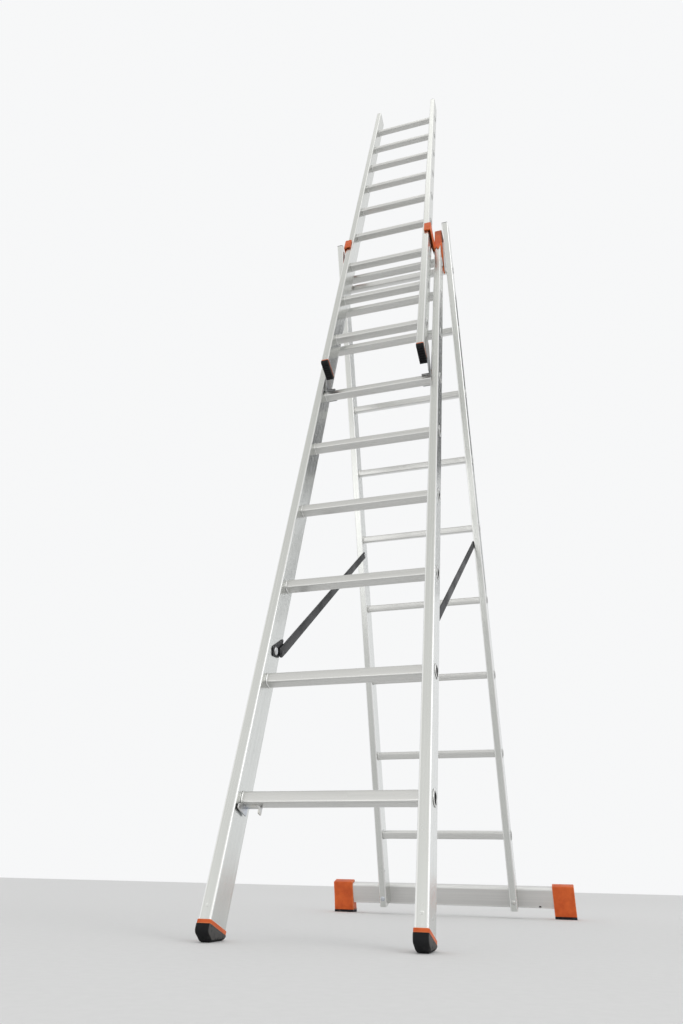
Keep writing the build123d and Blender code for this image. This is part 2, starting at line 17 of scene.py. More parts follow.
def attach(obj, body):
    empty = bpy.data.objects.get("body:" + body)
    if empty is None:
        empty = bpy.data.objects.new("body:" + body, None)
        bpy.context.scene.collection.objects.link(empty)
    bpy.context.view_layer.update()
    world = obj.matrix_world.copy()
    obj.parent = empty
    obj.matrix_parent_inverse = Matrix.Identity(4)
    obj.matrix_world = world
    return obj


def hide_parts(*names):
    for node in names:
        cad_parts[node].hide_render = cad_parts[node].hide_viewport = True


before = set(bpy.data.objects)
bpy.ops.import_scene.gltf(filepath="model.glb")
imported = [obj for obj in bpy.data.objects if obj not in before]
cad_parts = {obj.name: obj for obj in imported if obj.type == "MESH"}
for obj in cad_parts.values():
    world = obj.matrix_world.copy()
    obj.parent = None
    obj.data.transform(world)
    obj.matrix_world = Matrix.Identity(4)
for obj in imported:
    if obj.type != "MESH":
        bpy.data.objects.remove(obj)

Point = tuple[float, float]
Place = tuple[float, float, float]
Corners = list[Point] | tuple[Point, ...]
Radii = float | tuple[float, ...]
Colour = tuple[float, float, float, float]
Ring = tuple[float, float, float, float]
Socket = bpy.types.NodeSocket
Outputs = bpy.types.NodeOutputs

LOG = logging.getLogger("ladder")
UV_NAME = "surface"
EDGE_NAME = "edge"
# Edge-mask value for a hollow's inner skin; the aluminium finish paints shade there.
BORE = -1.0
METRE = 1000.0
SHARP_ANGLE = math.radians(34)


class Axis(Enum):
    """Direction an outline is carried along; the values place (first, second, along) in x, back, up."""

    ACROSS = (1, 2, 0)
    BACK = (0, 2, 1)
    UP = (0, 1, 2)


class Side(Enum):
    """Hand of a piece that is made twice, once on each side of the ladder."""

    LEFT = -1
    RIGHT = 1

    @property
    def word(self) -> str:
        """The side's name as it is used in the pieces' names."""
        return self.name.lower()


BOTH = tuple(Side)


def turn_about(axis: int, angle: float) -> np.ndarray:
    """Turn by an angle about one of the three directions: its cosine and sine mix the other two.

    Args:
        axis: Number of the direction turned about.
        angle: Angle in radians.

    Returns:
        The turn as a matrix of three rows.
    """
    first, second = (axis + 1) % 3, (axis + 2) % 3
    turn = np.eye(3)
    turn[first, first] = turn[second, second] = math.cos(angle)
    turn[first, second] = -math.sin(angle)
    turn[second, first] = math.sin(angle)
    return turn


@dataclass(frozen=True)
class SectionFrame:
    """Local directions of one section: its origin in millimetres and how far it leans to the back."""

    origin: Place
    lean: float

    def place(self, points: np.ndarray) -> np.ndarray:
        """Local points in metres in the shared frame: origin + x across + back and up along the lean."""
        return (points @ turn_about(0, math.radians(self.lean)) + np.array(self.origin)) / METRE


FRONT = SectionFrame((0.0, -780.912, 26.0), 17.5)
REAR = SectionFrame((0.0, 736.526, 32.0), -16.29114)
TOP = SectionFrame((0.0, -353.578, 1650.69), 17.5)
FLOOR = SectionFrame((0.0, 0.0, 0.0), 0.0)


def unit(rows: np.ndarray) -> np.ndarray:
    """The same directions with a length of 1."""
    return rows / np.linalg.norm(rows, axis=-1, keepdims=True)


def rectangle(lowest: Point, highest: Point) -> list[Point]:
    """Corners of a rectangle, counter-clockwise from its lowest one."""
    (left, low), (right, high) = lowest, highest
    return [(left, low), (right, low), (right, high), (left, high)]


def rounded(corners: Corners, radius: Radii, steps: int = 4) -> np.ndarray:
    """Rounds the corners of a polygon.

    Each corner becomes an arc of the given radius that touches both of its sides: the centre lies on
    the corner's bisector at radius / sin(half angle), and the arc turns evenly between the two touching
    points. A radius that needs more than 0.49 of a side is made smaller.

    Args:
        corners: Corners in order.
        radius: One radius for all corners, or one for each.
        steps: Pieces in each arc.

    Returns:
        The outline's points, one row each, counter-clockwise.
    """
    here = np.array(corners, dtype=float)
    size = np.broadcast_to(np.array(radius, dtype=float), (len(here),))
    ahead = np.roll(here, -1, axis=0)
    if np.sum(here[:, 0] * ahead[:, 1] - ahead[:, 0] * here[:, 1]) < 0:
        here = here[::-1]
        size = size[::-1]
    to_last = np.roll(here, 1, axis=0) - here
    to_next = np.roll(here, -1, axis=0) - here
    shorter = np.minimum(np.linalg.norm(to_last, axis=1), np.linalg.norm(to_next, axis=1))
    to_last, to_next = unit(to_last), unit(to_next)
    half = np.arccos(np.clip(np.sum(to_last * to_next, axis=1), -1.0, 1.0)) / 2
    touch = np.minimum(size / np.tan(half), 0.49 * shorter)
    size = touch * np.tan(half)
    centre = here + unit(to_last + to_next) * (size / np.sin(half))[:, None]
    first = here + to_last * touch[:, None] - centre
    second = here + to_next * touch[:, None] - centre
    turn = (np.pi - 2 * half)[:, None]
    share = np.linspace(0.0, 1.0, steps + 1)[None, :]
    near = np.sin((1 - share) * turn) / np.sin(turn)
    far = np.sin(share * turn) / np.sin(turn)
    arcs = centre[:, None, :] + near[..., None] * first[:, None, :] + far[..., None] * second[:, None, :]
    return arcs.reshape(-1, 2)


def inset(outline: np.ndarray, distances: np.ndarray) -> np.ndarray:
    """Copies of an outline drawn in by several distances.

    Each point moves along the mitre of its two sides: (n1 + n2) / (1 + n1·n2) for their inward normals.

    Args:
        outline: Counter-clockwise points, one row each.
        distances: How far each copy is drawn in.

    Returns:
        Points of every copy, indexed by copy, point and coordinate.
    """
    side = unit(np.roll(outline, -1, axis=0) - outline)
    after = np.stack([-side[:, 1], side[:, 0]], axis=1)
    before = np.roll(after, 1, axis=0)
    mitre = (before + after) / (1.0 + np.sum(before * after, axis=1))[:, None]
    return outline[None] + np.asarray(distances)[:, None, None] * mitre[None]


def carried(axis: Axis, outlines: np.ndarray, along: np.ndarray, hand: Side = Side.RIGHT) -> np.ndarray:
    """Puts outlines into space, each at its own distance along an axis.

    Args:
        axis: Direction the outlines are carried along.
        outlines: Points indexed by outline, point and coordinate.
        along: Distance of each outline.
        hand: Side of the ladder; the left one is mirrored.

    Returns:
        Local points indexed by outline, point and coordinate.
    """
    rings = np.empty(outlines.shape[:2] + (3,))
    first, second, third = axis.value
    rings[..., first] = outlines[..., 0]
    rings[..., second] = outlines[..., 1]
    rings[..., third] = np.asarray(along)[:, None]
    rings[..., 0] *= hand.value
    return rings


def flat_uv(points: np.ndarray) -> np.ndarray:
    """Flat map of a face: its two widest coordinates, in metres."""
    widest = np.argsort(np.ptp(points, axis=0))[1:]
    return points[:, widest] / METRE


def running(steps: np.ndarray) -> np.ndarray:
    """Distance before the first step and after each one, in metres."""
    return np.concatenate([[0.0], np.cumsum(steps)]) / METRE


def chart_of(along: np.ndarray, around: np.ndarray) -> np.ndarray:
    """Map of a grid: each point's distances along and around it."""
    return np.stack(np.broadcast_arrays(along[:, None], around[None, :]), axis=-1)


@dataclass(frozen=True)
class Tread:
    """Row of cross grooves in a rubber sole."""

    count: int
    pitch: float
    width: float = 3.6
    depth: float = 2.2

    def cut(self, outline: np.ndarray, first: int) -> np.ndarray:
        """Cuts the grooves into one straight side of an outline.

        They lie at their pitch about the middle of the side from point first to the next one. Each goes
        in by its depth and comes out again: its four points lie at its centre -/+ half its width and a
        little inside that.

        Args:
            outline: Counter-clockwise points, one row each.
            first: Number of the side's first point.

        Returns:
            The outline with the grooves' points added.
        """
        start, end = outline[first], outline[first + 1]
        along = unit(end - start)
        inward = np.array([-along[1], along[0]])
        middle = np.linalg.norm(end - start) / 2
        centres = middle + (np.arange(self.count) - (self.count - 1) / 2) * self.pitch
        spot = (centres[:, None] + np.array([-0.5, -0.3, 0.3, 0.5]) * self.width).ravel()
        sunk = np.tile([0.0, self.depth, self.depth, 0.0], self.count)
        grooves = start + spot[:, None] * along + sunk[:, None] * inward
        return np.concatenate([outline[: first + 1], grooves, outline[first + 1 :]])


def shown(name: str, data: bpy.types.ID) -> bpy.types.Object:
    """Makes an object and links it to the scene.

    Args:
        name: Name of the object.
        data: Its mesh, light or camera.

    Returns:
        The object, at the origin.
    """
    thing = bpy.data.objects.new(name, data)
    bpy.context.scene.collection.objects.link(thing)
    return thing


class Shell:
    """Closed surfaces of one piece, gathered into one mesh with a map in metres and a mask on its edges."""

    def __init__(self, place: SectionFrame) -> None:
        """Starts an empty shell in a section's frame."""
        self.place = place
        self.points: list[np.ndarray] = []
        self.corners: list[np.ndarray] = []
        self.sizes: list[np.ndarray] = []
        self.maps: list[np.ndarray] = []
        self.edges: list[np.ndarray] = []
        self.count = 0

    def add(
        self, points: np.ndarray, faces: list[np.ndarray], maps: list[np.ndarray], edge: np.ndarray
    ) -> None:
        """Adds one closed surface and turns it outwards.

        The volume it encloses is the sum over its triangles of a·(b × c) / 6; where that is negative
        every face is turned round.

        Args:
            points: Local points, one row each.
            faces: Tables of faces with the same number of corners, as point numbers.
            maps: For each table, the map's coordinates of every corner.
            edge: Edge mask of each point: 1 on an edge, 0 elsewhere, BORE inside a hollow.
        """
        volume = 0.0
        for table in faces:
            start = points[table[:, :1]]
            fan = np.cross(points[table[:, 1:-1]], points[table[:, 2:]])
            volume += np.sum(start * fan)
        if volume < 0:
            faces = [table[:, ::-1] for table in faces]
            maps = [table[:, ::-1] for table in maps]
        self.points.append(points)
        self.edges.append(edge)
        self.corners.extend((table + self.count).ravel() for table in faces)
        self.sizes.extend(np.full(len(table), table.shape[1]) for table in faces)
        self.maps.extend(table.reshape(-1, 2) for table in maps)
        self.count += len(points)

    @staticmethod
    def cells(table: np.ndarray) -> np.ndarray:
        """Four corners of every cell of a grid, one row for each cell."""
        corners = np.stack([table[:-1, :-1], table[1:, :-1], table[1:, 1:], table[:-1, 1:]], axis=2)
        return corners.reshape(-1, 4, *table.shape[2:])

    def loft(self, rings: np.ndarray, edge: np.ndarray, looped: bool = False) -> None:
        """Skin over rings of points.

        Point j of ring i is joined to point j of ring i + 1, and each ring closes on itself. An open run
        has a flat face at each end; a looped one joins its last ring to its first. The map runs along by
        the mean distance between rings and around by the widest ring's girth.

        Args:
            rings: Local points indexed by ring, point and coordinate.
            edge: Edge mask, one value for each ring, each point or both.
            looped: Whether the last ring is joined to the first.
        """
        count, around = rings.shape[:2]
        points = rings.reshape(-1, 3)
        mask = np.broadcast_to(edge, (count, around)).astype(float).ravel()
        number = np.arange(count * around).reshape(count, around)
        if looped:
            number = np.vstack([number, number[:1]])
        number = np.hstack([number, number[:, :1]])
        closed = points[number]
        step = np.linalg.norm(np.diff(closed, axis=0), axis=2).mean(axis=1)
        girths = np.linalg.norm(np.diff(closed, axis=1), axis=2)
        widest = girths[np.argmax(girths.sum(axis=1))]
        faces = [self.cells(number)]
        maps = [self.cells(chart_of(running(step), running(widest)))]
        if not looped:
            ends = [number[0, :-1], number[-1, :-1][::-1]]
            faces.extend(end[None] for end in ends)
            maps.extend(flat_uv(points[end])[None] for end in ends)
        self.add(points, faces, maps, mask)

    def prism(
        self,
        axis: Axis,
        outline: np.ndarray,
        start: float,
        end: float,
        bevel: float = 1.0,
        band: float = 1.0,
        hands: tuple[Side, ...] = BOTH,
    ) -> None:
        """Plate or block with rounded rims.

        The outline is carried from start to end. Through a rim's quarter turn a it is drawn in by
        bevel·(1 - sin a) and lies bevel·(1 - cos a) from the end; a band beside the rim ends the edge mask.

        Args:
            axis: Direction the outline is carried along.
            outline: Counter-clockwise points, one row each.
            start: Where the block starts along the axis.
            end: Where it ends.
            bevel: Radius of the rims.
            band: Width of the band beside each rim.
            hands: Sides of the ladder that have one.
        """
        turn = np.linspace(0.0, np.pi / 2, 4)
        drawn = np.concatenate([[bevel + band], bevel * (1 - np.sin(turn)), [0.0]])
        deep = np.concatenate([[0.0], bevel * (1 - np.cos(turn)), [bevel + 0.2 * band]])
        mark = np.concatenate([[0.0], np.ones(len(turn)), [0.0]])
        outlines = inset(outline, np.concatenate([drawn, drawn[::-1]]))
        along = np.concatenate([start + deep, end - deep[::-1]])
        for hand in hands:
            self.loft(carried(axis, outlines, along, hand), np.concatenate([mark, mark[::-1]])[:, None])

    def pierced(
        self,
        axis: Axis,
        outline: np.ndarray,
        mask: np.ndarray,
        wall: float,
        stations: np.ndarray,
        gaps: tuple[np.ndarray, np.ndarray],
        hand: Side = Side.RIGHT,
    ) -> None:
        """Hollow bar with openings in its walls.

        The outline is carried along the stations, outside and drawn in by the wall inside. The cells
        where a gap's row and column cross are left out of both skins, and the space between the skins is
        closed round each of them and at both ends.

        Args:
            axis: Direction the outline is carried along.
            outline: Counter-clockwise outer points, one row each.
            mask: Edge mask of each point of the outline.
            wall: Thickness of the wall.
            stations: Distances along the axis that have a ring of points.
            gaps: Rows (between stations) and columns (between points) whose cells are open.
            hand: Side of the ladder; the left one is mirrored.
        """
        count, around = len(stations), len(outline)
        skins = np.repeat(inset(outline, np.array([0.0, wall])), count, axis=0)
        grid = carried(axis, skins, np.tile(stations, 2), hand)
        number = np.arange(2 * count * around).reshape(2, count, around)
        number = np.concatenate([number, number[:, :, :1]], axis=2)
        girth = np.linalg.norm(np.diff(np.vstack([outline, outline[:1]]), axis=0), axis=1)
        chart = chart_of(stations / METRE, running(girth))
        kept = np.ones((count - 1, around), dtype=bool)
        kept[np.ix_(*gaps)] = False
        kept = kept.ravel()
        outside, inside = (self.cells(skin) for skin in number)
        cell_map = self.cells(chart)
        ahead = [1, 2, 3, 0]
        reveal = np.stack([outside, outside[:, ahead], inside[:, ahead], inside], axis=2)[~kept]
        reveal_map = np.stack([cell_map, cell_map[:, ahead], cell_map[:, ahead], cell_map], axis=2)[~kept]
        out_low, in_low = number[:, 0]
        out_high, in_high = number[:, -1]
        rim_low = np.stack([out_low[:-1], out_low[1:], in_low[1:], in_low[:-1]], axis=1)
        rim_high = np.stack([out_high[1:], out_high[:-1], in_high[:-1], in_high[1:]], axis=1)
        rim_map = np.stack([chart[0, :-1], chart[0, 1:], chart[0, 1:], chart[0, :-1]], axis=1)
        faces = [outside[kept], inside[kept][:, ::-1], reveal.reshape(-1, 4), rim_low, rim_high]
        maps = [cell_map[kept], cell_map[kept][:, ::-1], reveal_map.reshape(-1, 4, 2), rim_map, rim_map]
        # The inner skin is marked BORE, where the aluminium finish paints shade.
        skin_mask = np.concatenate([np.tile(mask, count), np.full(count * around, BORE)])
        self.add(grid.reshape(-1, 3), faces, maps, skin_mask)

    def turned(
        self,
        axis: Axis,
        centre: Point,
        profile: Corners,
        hands: tuple[Side, ...] = BOTH,
        sides: int = 28,
    ) -> None:
        """Turned piece: at each (along, radius) of the profile, a circle of that radius round the axis.

        Args:
            axis: Direction of the piece's axis.
            centre: Where the axis passes through the other two directions.
            profile: Distances along the axis with the radius at each.
            hands: Sides of the ladder that have one.
            sides: Points in each circle.
        """
        along, radius = np.array(profile, dtype=float).T
        angle = np.arange(sides) * 2 * np.pi / sides
        circle = np.stack([np.cos(angle), np.sin(angle)], axis=1)
        outlines = np.array(centre) + radius[:, None, None] * circle[None]
        # The widest rings are marked as edge, where the metal finishes paint a highlight.
        peak = (radius > 0.9 * radius.max()).astype(float)
        for hand in hands:
            self.loft(carried(axis, outlines, along, hand), peak[:, None])

    def build(self, name: str) -> bpy.types.Object:
        """Makes the mesh and its object.

        Args:
            name: Name of the piece.

        Returns:
            The object, at the origin, linked to the scene.
        """
        points = self.place.place(np.concatenate(self.points))
        corners = np.concatenate(self.corners)
        sizes = np.concatenate(self.sizes)
        mesh = bpy.data.meshes.new(name)
        mesh.vertices.add(len(points))
        mesh.vertices.foreach_set("co", points.ravel())
        mesh.loops.add(len(corners))
        mesh.polygons.add(len(sizes))
        mesh.polygons.foreach_set("loop_start", np.cumsum(sizes) - sizes)
        mesh.polygons.foreach_set("vertices", corners)
        mesh.polygons.foreach_set("use_smooth", np.ones(len(sizes), dtype=bool))
        mesh.update(calc_edges=True)
        layer = mesh.uv_layers.new(name=UV_NAME)
        layer.data.foreach_set("uv", np.concatenate(self.maps).ravel())
        mask = mesh.attributes.new(EDGE_NAME, "FLOAT", "POINT")
        mask.data.foreach_set("value", np.concatenate(self.edges))
        mesh.set_sharp_from_angle(angle=SHARP_ANGLE)
        mesh.validate()
        return shown(name, mesh)


class Nodes:
    """A node tree with short calls that add, set and join its nodes."""

    def __init__(self, tree: bpy.types.NodeTree) -> None:
        """Takes over an empty tree."""
        self.tree = tree

    @classmethod
    def of(cls, owner: bpy.types.Material | bpy.types.World) -> "Nodes":
        """Takes over the tree of a new material or world.

        Args:
            owner: The material or world.

        Returns:
            Its tree, emptied.
        """
        owner.use_nodes = True
        owner.node_tree.nodes.clear()
        return cls(owner.node_tree)

    def add(
        self, kind: str, inputs: dict[str | int, object] | None = None, **settings: object
    ) -> Outputs:
        """Adds a node, sets it and joins its inputs.

        Args:
            kind: Blender's name of the node.
            inputs: For each input's name or number, a plain value or another node's output.
            settings: The node's own properties.

        Returns:
            The new node's outputs.
        """
        node = self.tree.nodes.new(kind)
        for name, value in settings.items():
            setattr(node, name, value)
        for name, value in (inputs or {}).items():
            if isinstance(value, Socket):
                self.tree.links.new(value, node.inputs[name])
            else:
                node.inputs[name].default_value = value
        return node.outputs

    def group(self, tree: bpy.types.NodeTree, **inputs: object) -> Outputs:
        """Adds a shared group with its inputs and gives its outputs."""
        return self.add("ShaderNodeGroup", inputs, node_tree=tree)

    def end(self, **values: Socket) -> bpy.types.NodeTree:
        """Joins the values that a group puts out and gives its tree."""
        self.add("NodeGroupOutput", values)
        return self.tree

    def blend(self, share: object, first: object, second: object) -> Socket:
        """Mixes two colours; the share is how much of the second one shows."""
        return self.add("ShaderNodeMix", {0: share, 6: first, 7: second}, data_type="RGBA")[2]

    def span(self, value: Socket, low: float, high: float) -> Socket:
        """Stretches a value from 0 to 1 over the range from low to high."""
        return self.add("ShaderNodeMapRange", {0: value, 3: low, 4: high})[0]

    def tint(self, mask: Socket, most: float, first: object, second: object) -> Socket:
        """Lays a second colour over the first one by a mask, at most by the given share."""
        return self.blend(self.span(mask, 0.0, most), first, second)

    def window(self, value: Socket, low: float, high: float) -> Socket:
        """Smooth step from 0 at low to 1 at high."""
        return self.add("ShaderNodeMapRange", {0: value, 1: low, 2: high}, interpolation_type="SMOOTHSTEP")[0]

    def sum(self, kind: str, first: object, second: object) -> Socket:
        """Joins two values by a sum of the given kind, kept between 0 and 1."""
        return self.add("ShaderNodeMath", {0: first, 1: second}, operation=kind, use_clamp=True)[0]

    def vector(self, kind: str, inputs: dict[str | int, object]) -> Socket:
        """Joins vectors by a sum of the given kind."""
        return self.add("ShaderNodeVectorMath", inputs, operation=kind)[0]

    def noise(self, place: Socket, scale: float, detail: float = 2.0, rough: float = 0.5) -> Socket:
        """Noise about 0.5 with so many grains in a metre, finer layers, and strength of each finer layer."""
        values = {"Vector": place, "Scale": scale, "Detail": detail, "Roughness": rough}
        return self.add("ShaderNodeTexNoise", values)[0]

    def surface(self, **values: object) -> None:
        """Ends a material in a Principled shader; an underscore in an input's name stands for a space."""
        named = {name.replace("_", " "): value for name, value in values.items()}
        self.add("ShaderNodeOutputMaterial", {"Surface": self.add("ShaderNodeBsdfPrincipled", named)[0]})


class Effects:
    """Shader groups that several finishes share, each built once."""

    def __init__(self) -> None:
        """Builds the groups."""
        self.die_lines = self.make_die_lines()
        self.handling = self.make_handling()
        self.edge_wear_and_highlight = self.make_edge_wear_and_highlight()
        self.grain = self.make_grain()

    @staticmethod
    def start(name: str, inputs: list[str], outputs: list[str]) -> tuple[Nodes, Outputs]:
        """Starts a group with named sockets: a vector called Place, and numbers.

        Args:
            name: Name of the group.
            inputs: Names of its numbers taken in.
            outputs: Names of its numbers put out.

        Returns:
            The group's nodes and what it takes in.
        """
        tree = bpy.data.node_groups.new(name, "ShaderNodeTree")
        tree.interface.new_socket("Place", in_out="INPUT", socket_type="NodeSocketVector")
        for way, labels in (("INPUT", inputs), ("OUTPUT", outputs)):
            for label in labels:
                tree.interface.new_socket(label, in_out=way, socket_type="NodeSocketFloat")
        nodes = Nodes(tree)
        return nodes, nodes.add("NodeGroupInput")

    def make_die_lines(self) -> bpy.types.NodeTree:
        """Drawing lines of an extrusion: noise stretched along the map's first direction.

        Returns:
            The group, with outputs Lines for the fine marks and Streaks for wide pale ones.
        """
        nodes, into = self.start("die_lines", ["Fine", "Wide"], ["Lines", "Streaks"])
        marks = []
        for source, along in (("Fine", 1.6), ("Wide", 0.7)):
            scale = nodes.add("ShaderNodeCombineXYZ", {0: along, 1: into[source], 2: 1.0})[0]
            spot = nodes.vector("MULTIPLY", {0: into["Place"], 1: scale})
            marks.append(nodes.window(nodes.noise(spot, 1.0, 3.0, 0.6), 0.28, 0.72))
        return nodes.end(Lines=marks[0], Streaks=marks[1])

    def make_handling(self) -> bpy.types.NodeTree:
        """Traces of handling: large soft clouds, smudges where hands have been, and thin scratches.

        Returns:
            The group, with outputs Cloud, Smudge and Scratch.
        """
        nodes, into = self.start("handling_marks", ["Scale"], ["Cloud", "Smudge", "Scratch"])
        spot = nodes.vector("SCALE", {0: into["Place"], "Scale": into["Scale"]})
        cloud = nodes.window(nodes.noise(spot, 3.0), 0.3, 0.7)
        smudge = nodes.window(nodes.noise(spot, 17.0, 5.0, 0.65), 0.52, 0.74)
        ragged = nodes.noise(spot, 9.0, 1.0)
        bent = nodes.vector("MULTIPLY_ADD", {0: spot, 1: (210.0, 9.0, 60.0), 2: ragged})
        thread = nodes.window(nodes.noise(bent, 1.0, 1.0), 0.69, 0.74)
        return nodes.end(Cloud=cloud, Smudge=smudge, Scratch=nodes.sum("MULTIPLY", thread, smudge))

    def make_edge_wear_and_highlight(self) -> bpy.types.NodeTree:
        """Wear and painted highlights along edges: the edge mask eaten into by noise, and the plain mask.

        Returns:
            The group, with outputs Wear for ragged bare spots and Rim for the plain soft edge, which the
            aluminium and plated finishes use for a painted highlight and the plastic and rubber ones for
            rubbed wear.
        """
        nodes, into = self.start("edge_wear_and_highlight", ["Edge", "Amount"], ["Wear", "Rim"])
        rough = nodes.noise(into["Place"], 95.0, 4.0, 0.65)
        worn = nodes.sum("MULTIPLY", nodes.window(into["Edge"], 0.35, 1.0), into["Amount"])
        eaten = nodes.add("ShaderNodeMath", {0: rough, 1: worn}, operation="ADD")[0]
        return nodes.end(Wear=nodes.window(eaten, 1.02, 1.14), Rim=nodes.window(into["Edge"], 0.1, 1.0))

    def make_grain(self) -> bpy.types.NodeTree:
        """Fine grain of a moulded or coated surface: cells and noise of one size, with slow patches of tone.

        Returns:
            The group, with outputs Height and Tone.
        """
        nodes, into = self.start("surface_grain", ["Scale"], ["Height", "Tone"])
        spot = nodes.vector("SCALE", {0: into["Place"], "Scale": into["Scale"]})
        cells = nodes.add("ShaderNodeTexVoronoi", {"Vector": spot, "Scale": 1.0}, feature="SMOOTH_F1")[0]
        height = nodes.sum("MULTIPLY", cells, nodes.noise(spot, 2.2, 3.0))
        patches = nodes.noise(spot, 0.022, 4.0, 0.6)
        return nodes.end(Height=height, Tone=nodes.window(patches, 0.28, 0.72))


@dataclass(frozen=True)
class Ground:
    """What every finish starts from: nodes, Object coordinates, edge mask, handling outputs, and the outputs
    for edge wear and painted rim highlights.
    """

    nodes: Nodes
    spot: Socket
    edge: Socket
    marks: Outputs
    wear: Outputs


@dataclass(frozen=True)
class Finish:
    """Base of the finishes: a name, the record's slot, the shared groups and the values they take."""

    name: str
    slot: str
    effects: Effects = field(repr=False)
    rough: float = 0.5
    rough_spread: float = 0.2
    grain_scale: float = 1000.0
    handling_scale: float = 1.0
    wear_amount: float = 0.6
    bump_strength: float = 0.1
    bump_depth: float = 0.0004

    def material(self) -> bpy.types.Material:
        """The finish's material, made the first time it is asked for.

        Returns:
            The material.
        """
        made = bpy.data.materials.get(self.name)
        if made is None:
            made = bpy.data.materials.new(self.name)
            nodes = Nodes.of(made)
            spot = nodes.add("ShaderNodeTexCoord")["Object"]
            edge = nodes.add("ShaderNodeAttribute", attribute_name=EDGE_NAME)["Fac"]
            marks = nodes.group(self.effects.handling, Place=spot, Scale=self.handling_scale)
            wear = nodes.group(self.effects.edge_wear_and_highlight, Place=spot, Edge=edge, Amount=self.wear_amount)
            height, values = self.fill(Ground(nodes, spot, edge, marks, wear))
            settings = {"Height": height, "Strength": self.bump_strength, "Distance": self.bump_depth}
            nodes.surface(**values, Normal=nodes.add("ShaderNodeBump", settings)[0])
        return made

    def fill(self, ground: Ground) -> tuple[Socket, dict[str, object]]:
        """Lays the finish's own nodes into its material.

        Args:
            ground: What the material starts from.

        Returns:
            The surface's height and the shader's inputs.
        """
        raise NotImplementedError

    def grain(self, ground: Ground) -> Outputs:
        """Adds the grain group and gives its outputs."""
        return ground.nodes.group(self.effects.grain, Place=ground.spot, Scale=self.grain_scale)


@dataclass(frozen=True)
class ExtrudedAluminium(Finish):
    """Mill-finish aluminium with drawing lines along it, handling smudges, a painted highlight along its
    edges and painted shade inside its bore.
    """

    rough: float = 0.17
    rough_spread: float = 0.12
    light: Colour = (0.77, 0.78, 0.755, 1.0)
    dark: Colour = (0.65, 0.66, 0.64, 1.0)
    # Painted highlight: pale colour laid on the rims to stand for the bright lines of light along the edges.
    rim: Colour = (0.93, 0.93, 0.92, 1.0)
    # Painted shade: near-black colour for the insides of tubes and rung bores.
    bore_shade: Colour = (0.06, 0.06, 0.06, 1.0)
    fine: float = 900.0
    wide: float = 85.0

    def fill(self, ground: Ground) -> tuple[Socket, dict[str, object]]:
        """Drawing lines tint and roughen the metal, smudges dull it, the rims get a painted highlight and the
        bore painted shade.

        Args:
            ground: What the material starts from.

        Returns:
            The surface's height and the shader's inputs.
        """
        nodes, marks = ground.nodes, ground.marks
        chart = nodes.add("ShaderNodeUVMap", uv_map=UV_NAME)[0]
        lines = nodes.group(self.effects.die_lines, Place=chart, Fine=self.fine, Wide=self.wide)
        streak = nodes.sum("MULTIPLY", lines["Lines"], lines["Streaks"])
        tone = nodes.blend(streak, self.dark, self.light)
        cloudy = nodes.tint(marks["Cloud"], 0.25, tone, self.light)
        smudged = nodes.tint(marks["Smudge"], 0.22, cloudy, self.dark)
        # Painted highlight: the rims are tinted towards the pale rim colour.
        bright = nodes.tint(ground.wear["Rim"], 0.8, smudged, self.rim)
        dull = nodes.sum("ADD", nodes.span(marks["Smudge"], 0.0, 0.10), marks["Scratch"])
        rough = nodes.span(lines["Lines"], self.rough + self.rough_spread, self.rough)
        return lines["Lines"], {
            # Painted shade: points marked BORE are blended to the dark bore colour.
            "Base_Color": nodes.blend(nodes.window(ground.edge, -0.3, -0.9), bright, self.bore_shade),
            "Metallic": 1.0,
            "Roughness": nodes.sum("ADD", rough, nodes.span(dull, 0.0, 0.25)),
        }


@dataclass(frozen=True)
class MouldedPlastic(Finish):
    """Grained moulded plastic: slow patches of tone, pale worn rims and rubbed smudges."""

    rough: float = 0.46
    rough_spread: float = 0.16
    grain_scale: float = 1400.0
    handling_scale: float = 2.5
    wear_amount: float = 0.62
    bump_strength: float = 0.18
    deep: Colour = (0.58, 0.090, 0.016, 1.0)
    bright: Colour = (0.73, 0.136, 0.026, 1.0)
    rubbed: Colour = (0.84, 0.27, 0.10, 1.0)

    def fill(self, ground: Ground) -> tuple[Socket, dict[str, object]]:
        """Patches of tone over the grain, with the rims rubbed pale.

        Args:
            ground: What the material starts from.

        Returns:
            The surface's height and the shader's inputs.
        """
        nodes, marks, wear = ground.nodes, ground.marks, ground.wear
        grain = self.grain(ground)
        tone = nodes.blend(grain["Tone"], self.deep, self.bright)
        rim = nodes.tint(wear["Rim"], 0.35, tone, self.rubbed)
        worn = nodes.tint(wear["Wear"], 0.6, rim, self.rubbed)
        return grain["Height"], {
            "Base_Color": nodes.tint(marks["Scratch"], 0.35, worn, self.rubbed),
            "Roughness": nodes.span(marks["Smudge"], self.rough, self.rough + self.rough_spread),
            "Specular_IOR_Level": 0.30,
        }


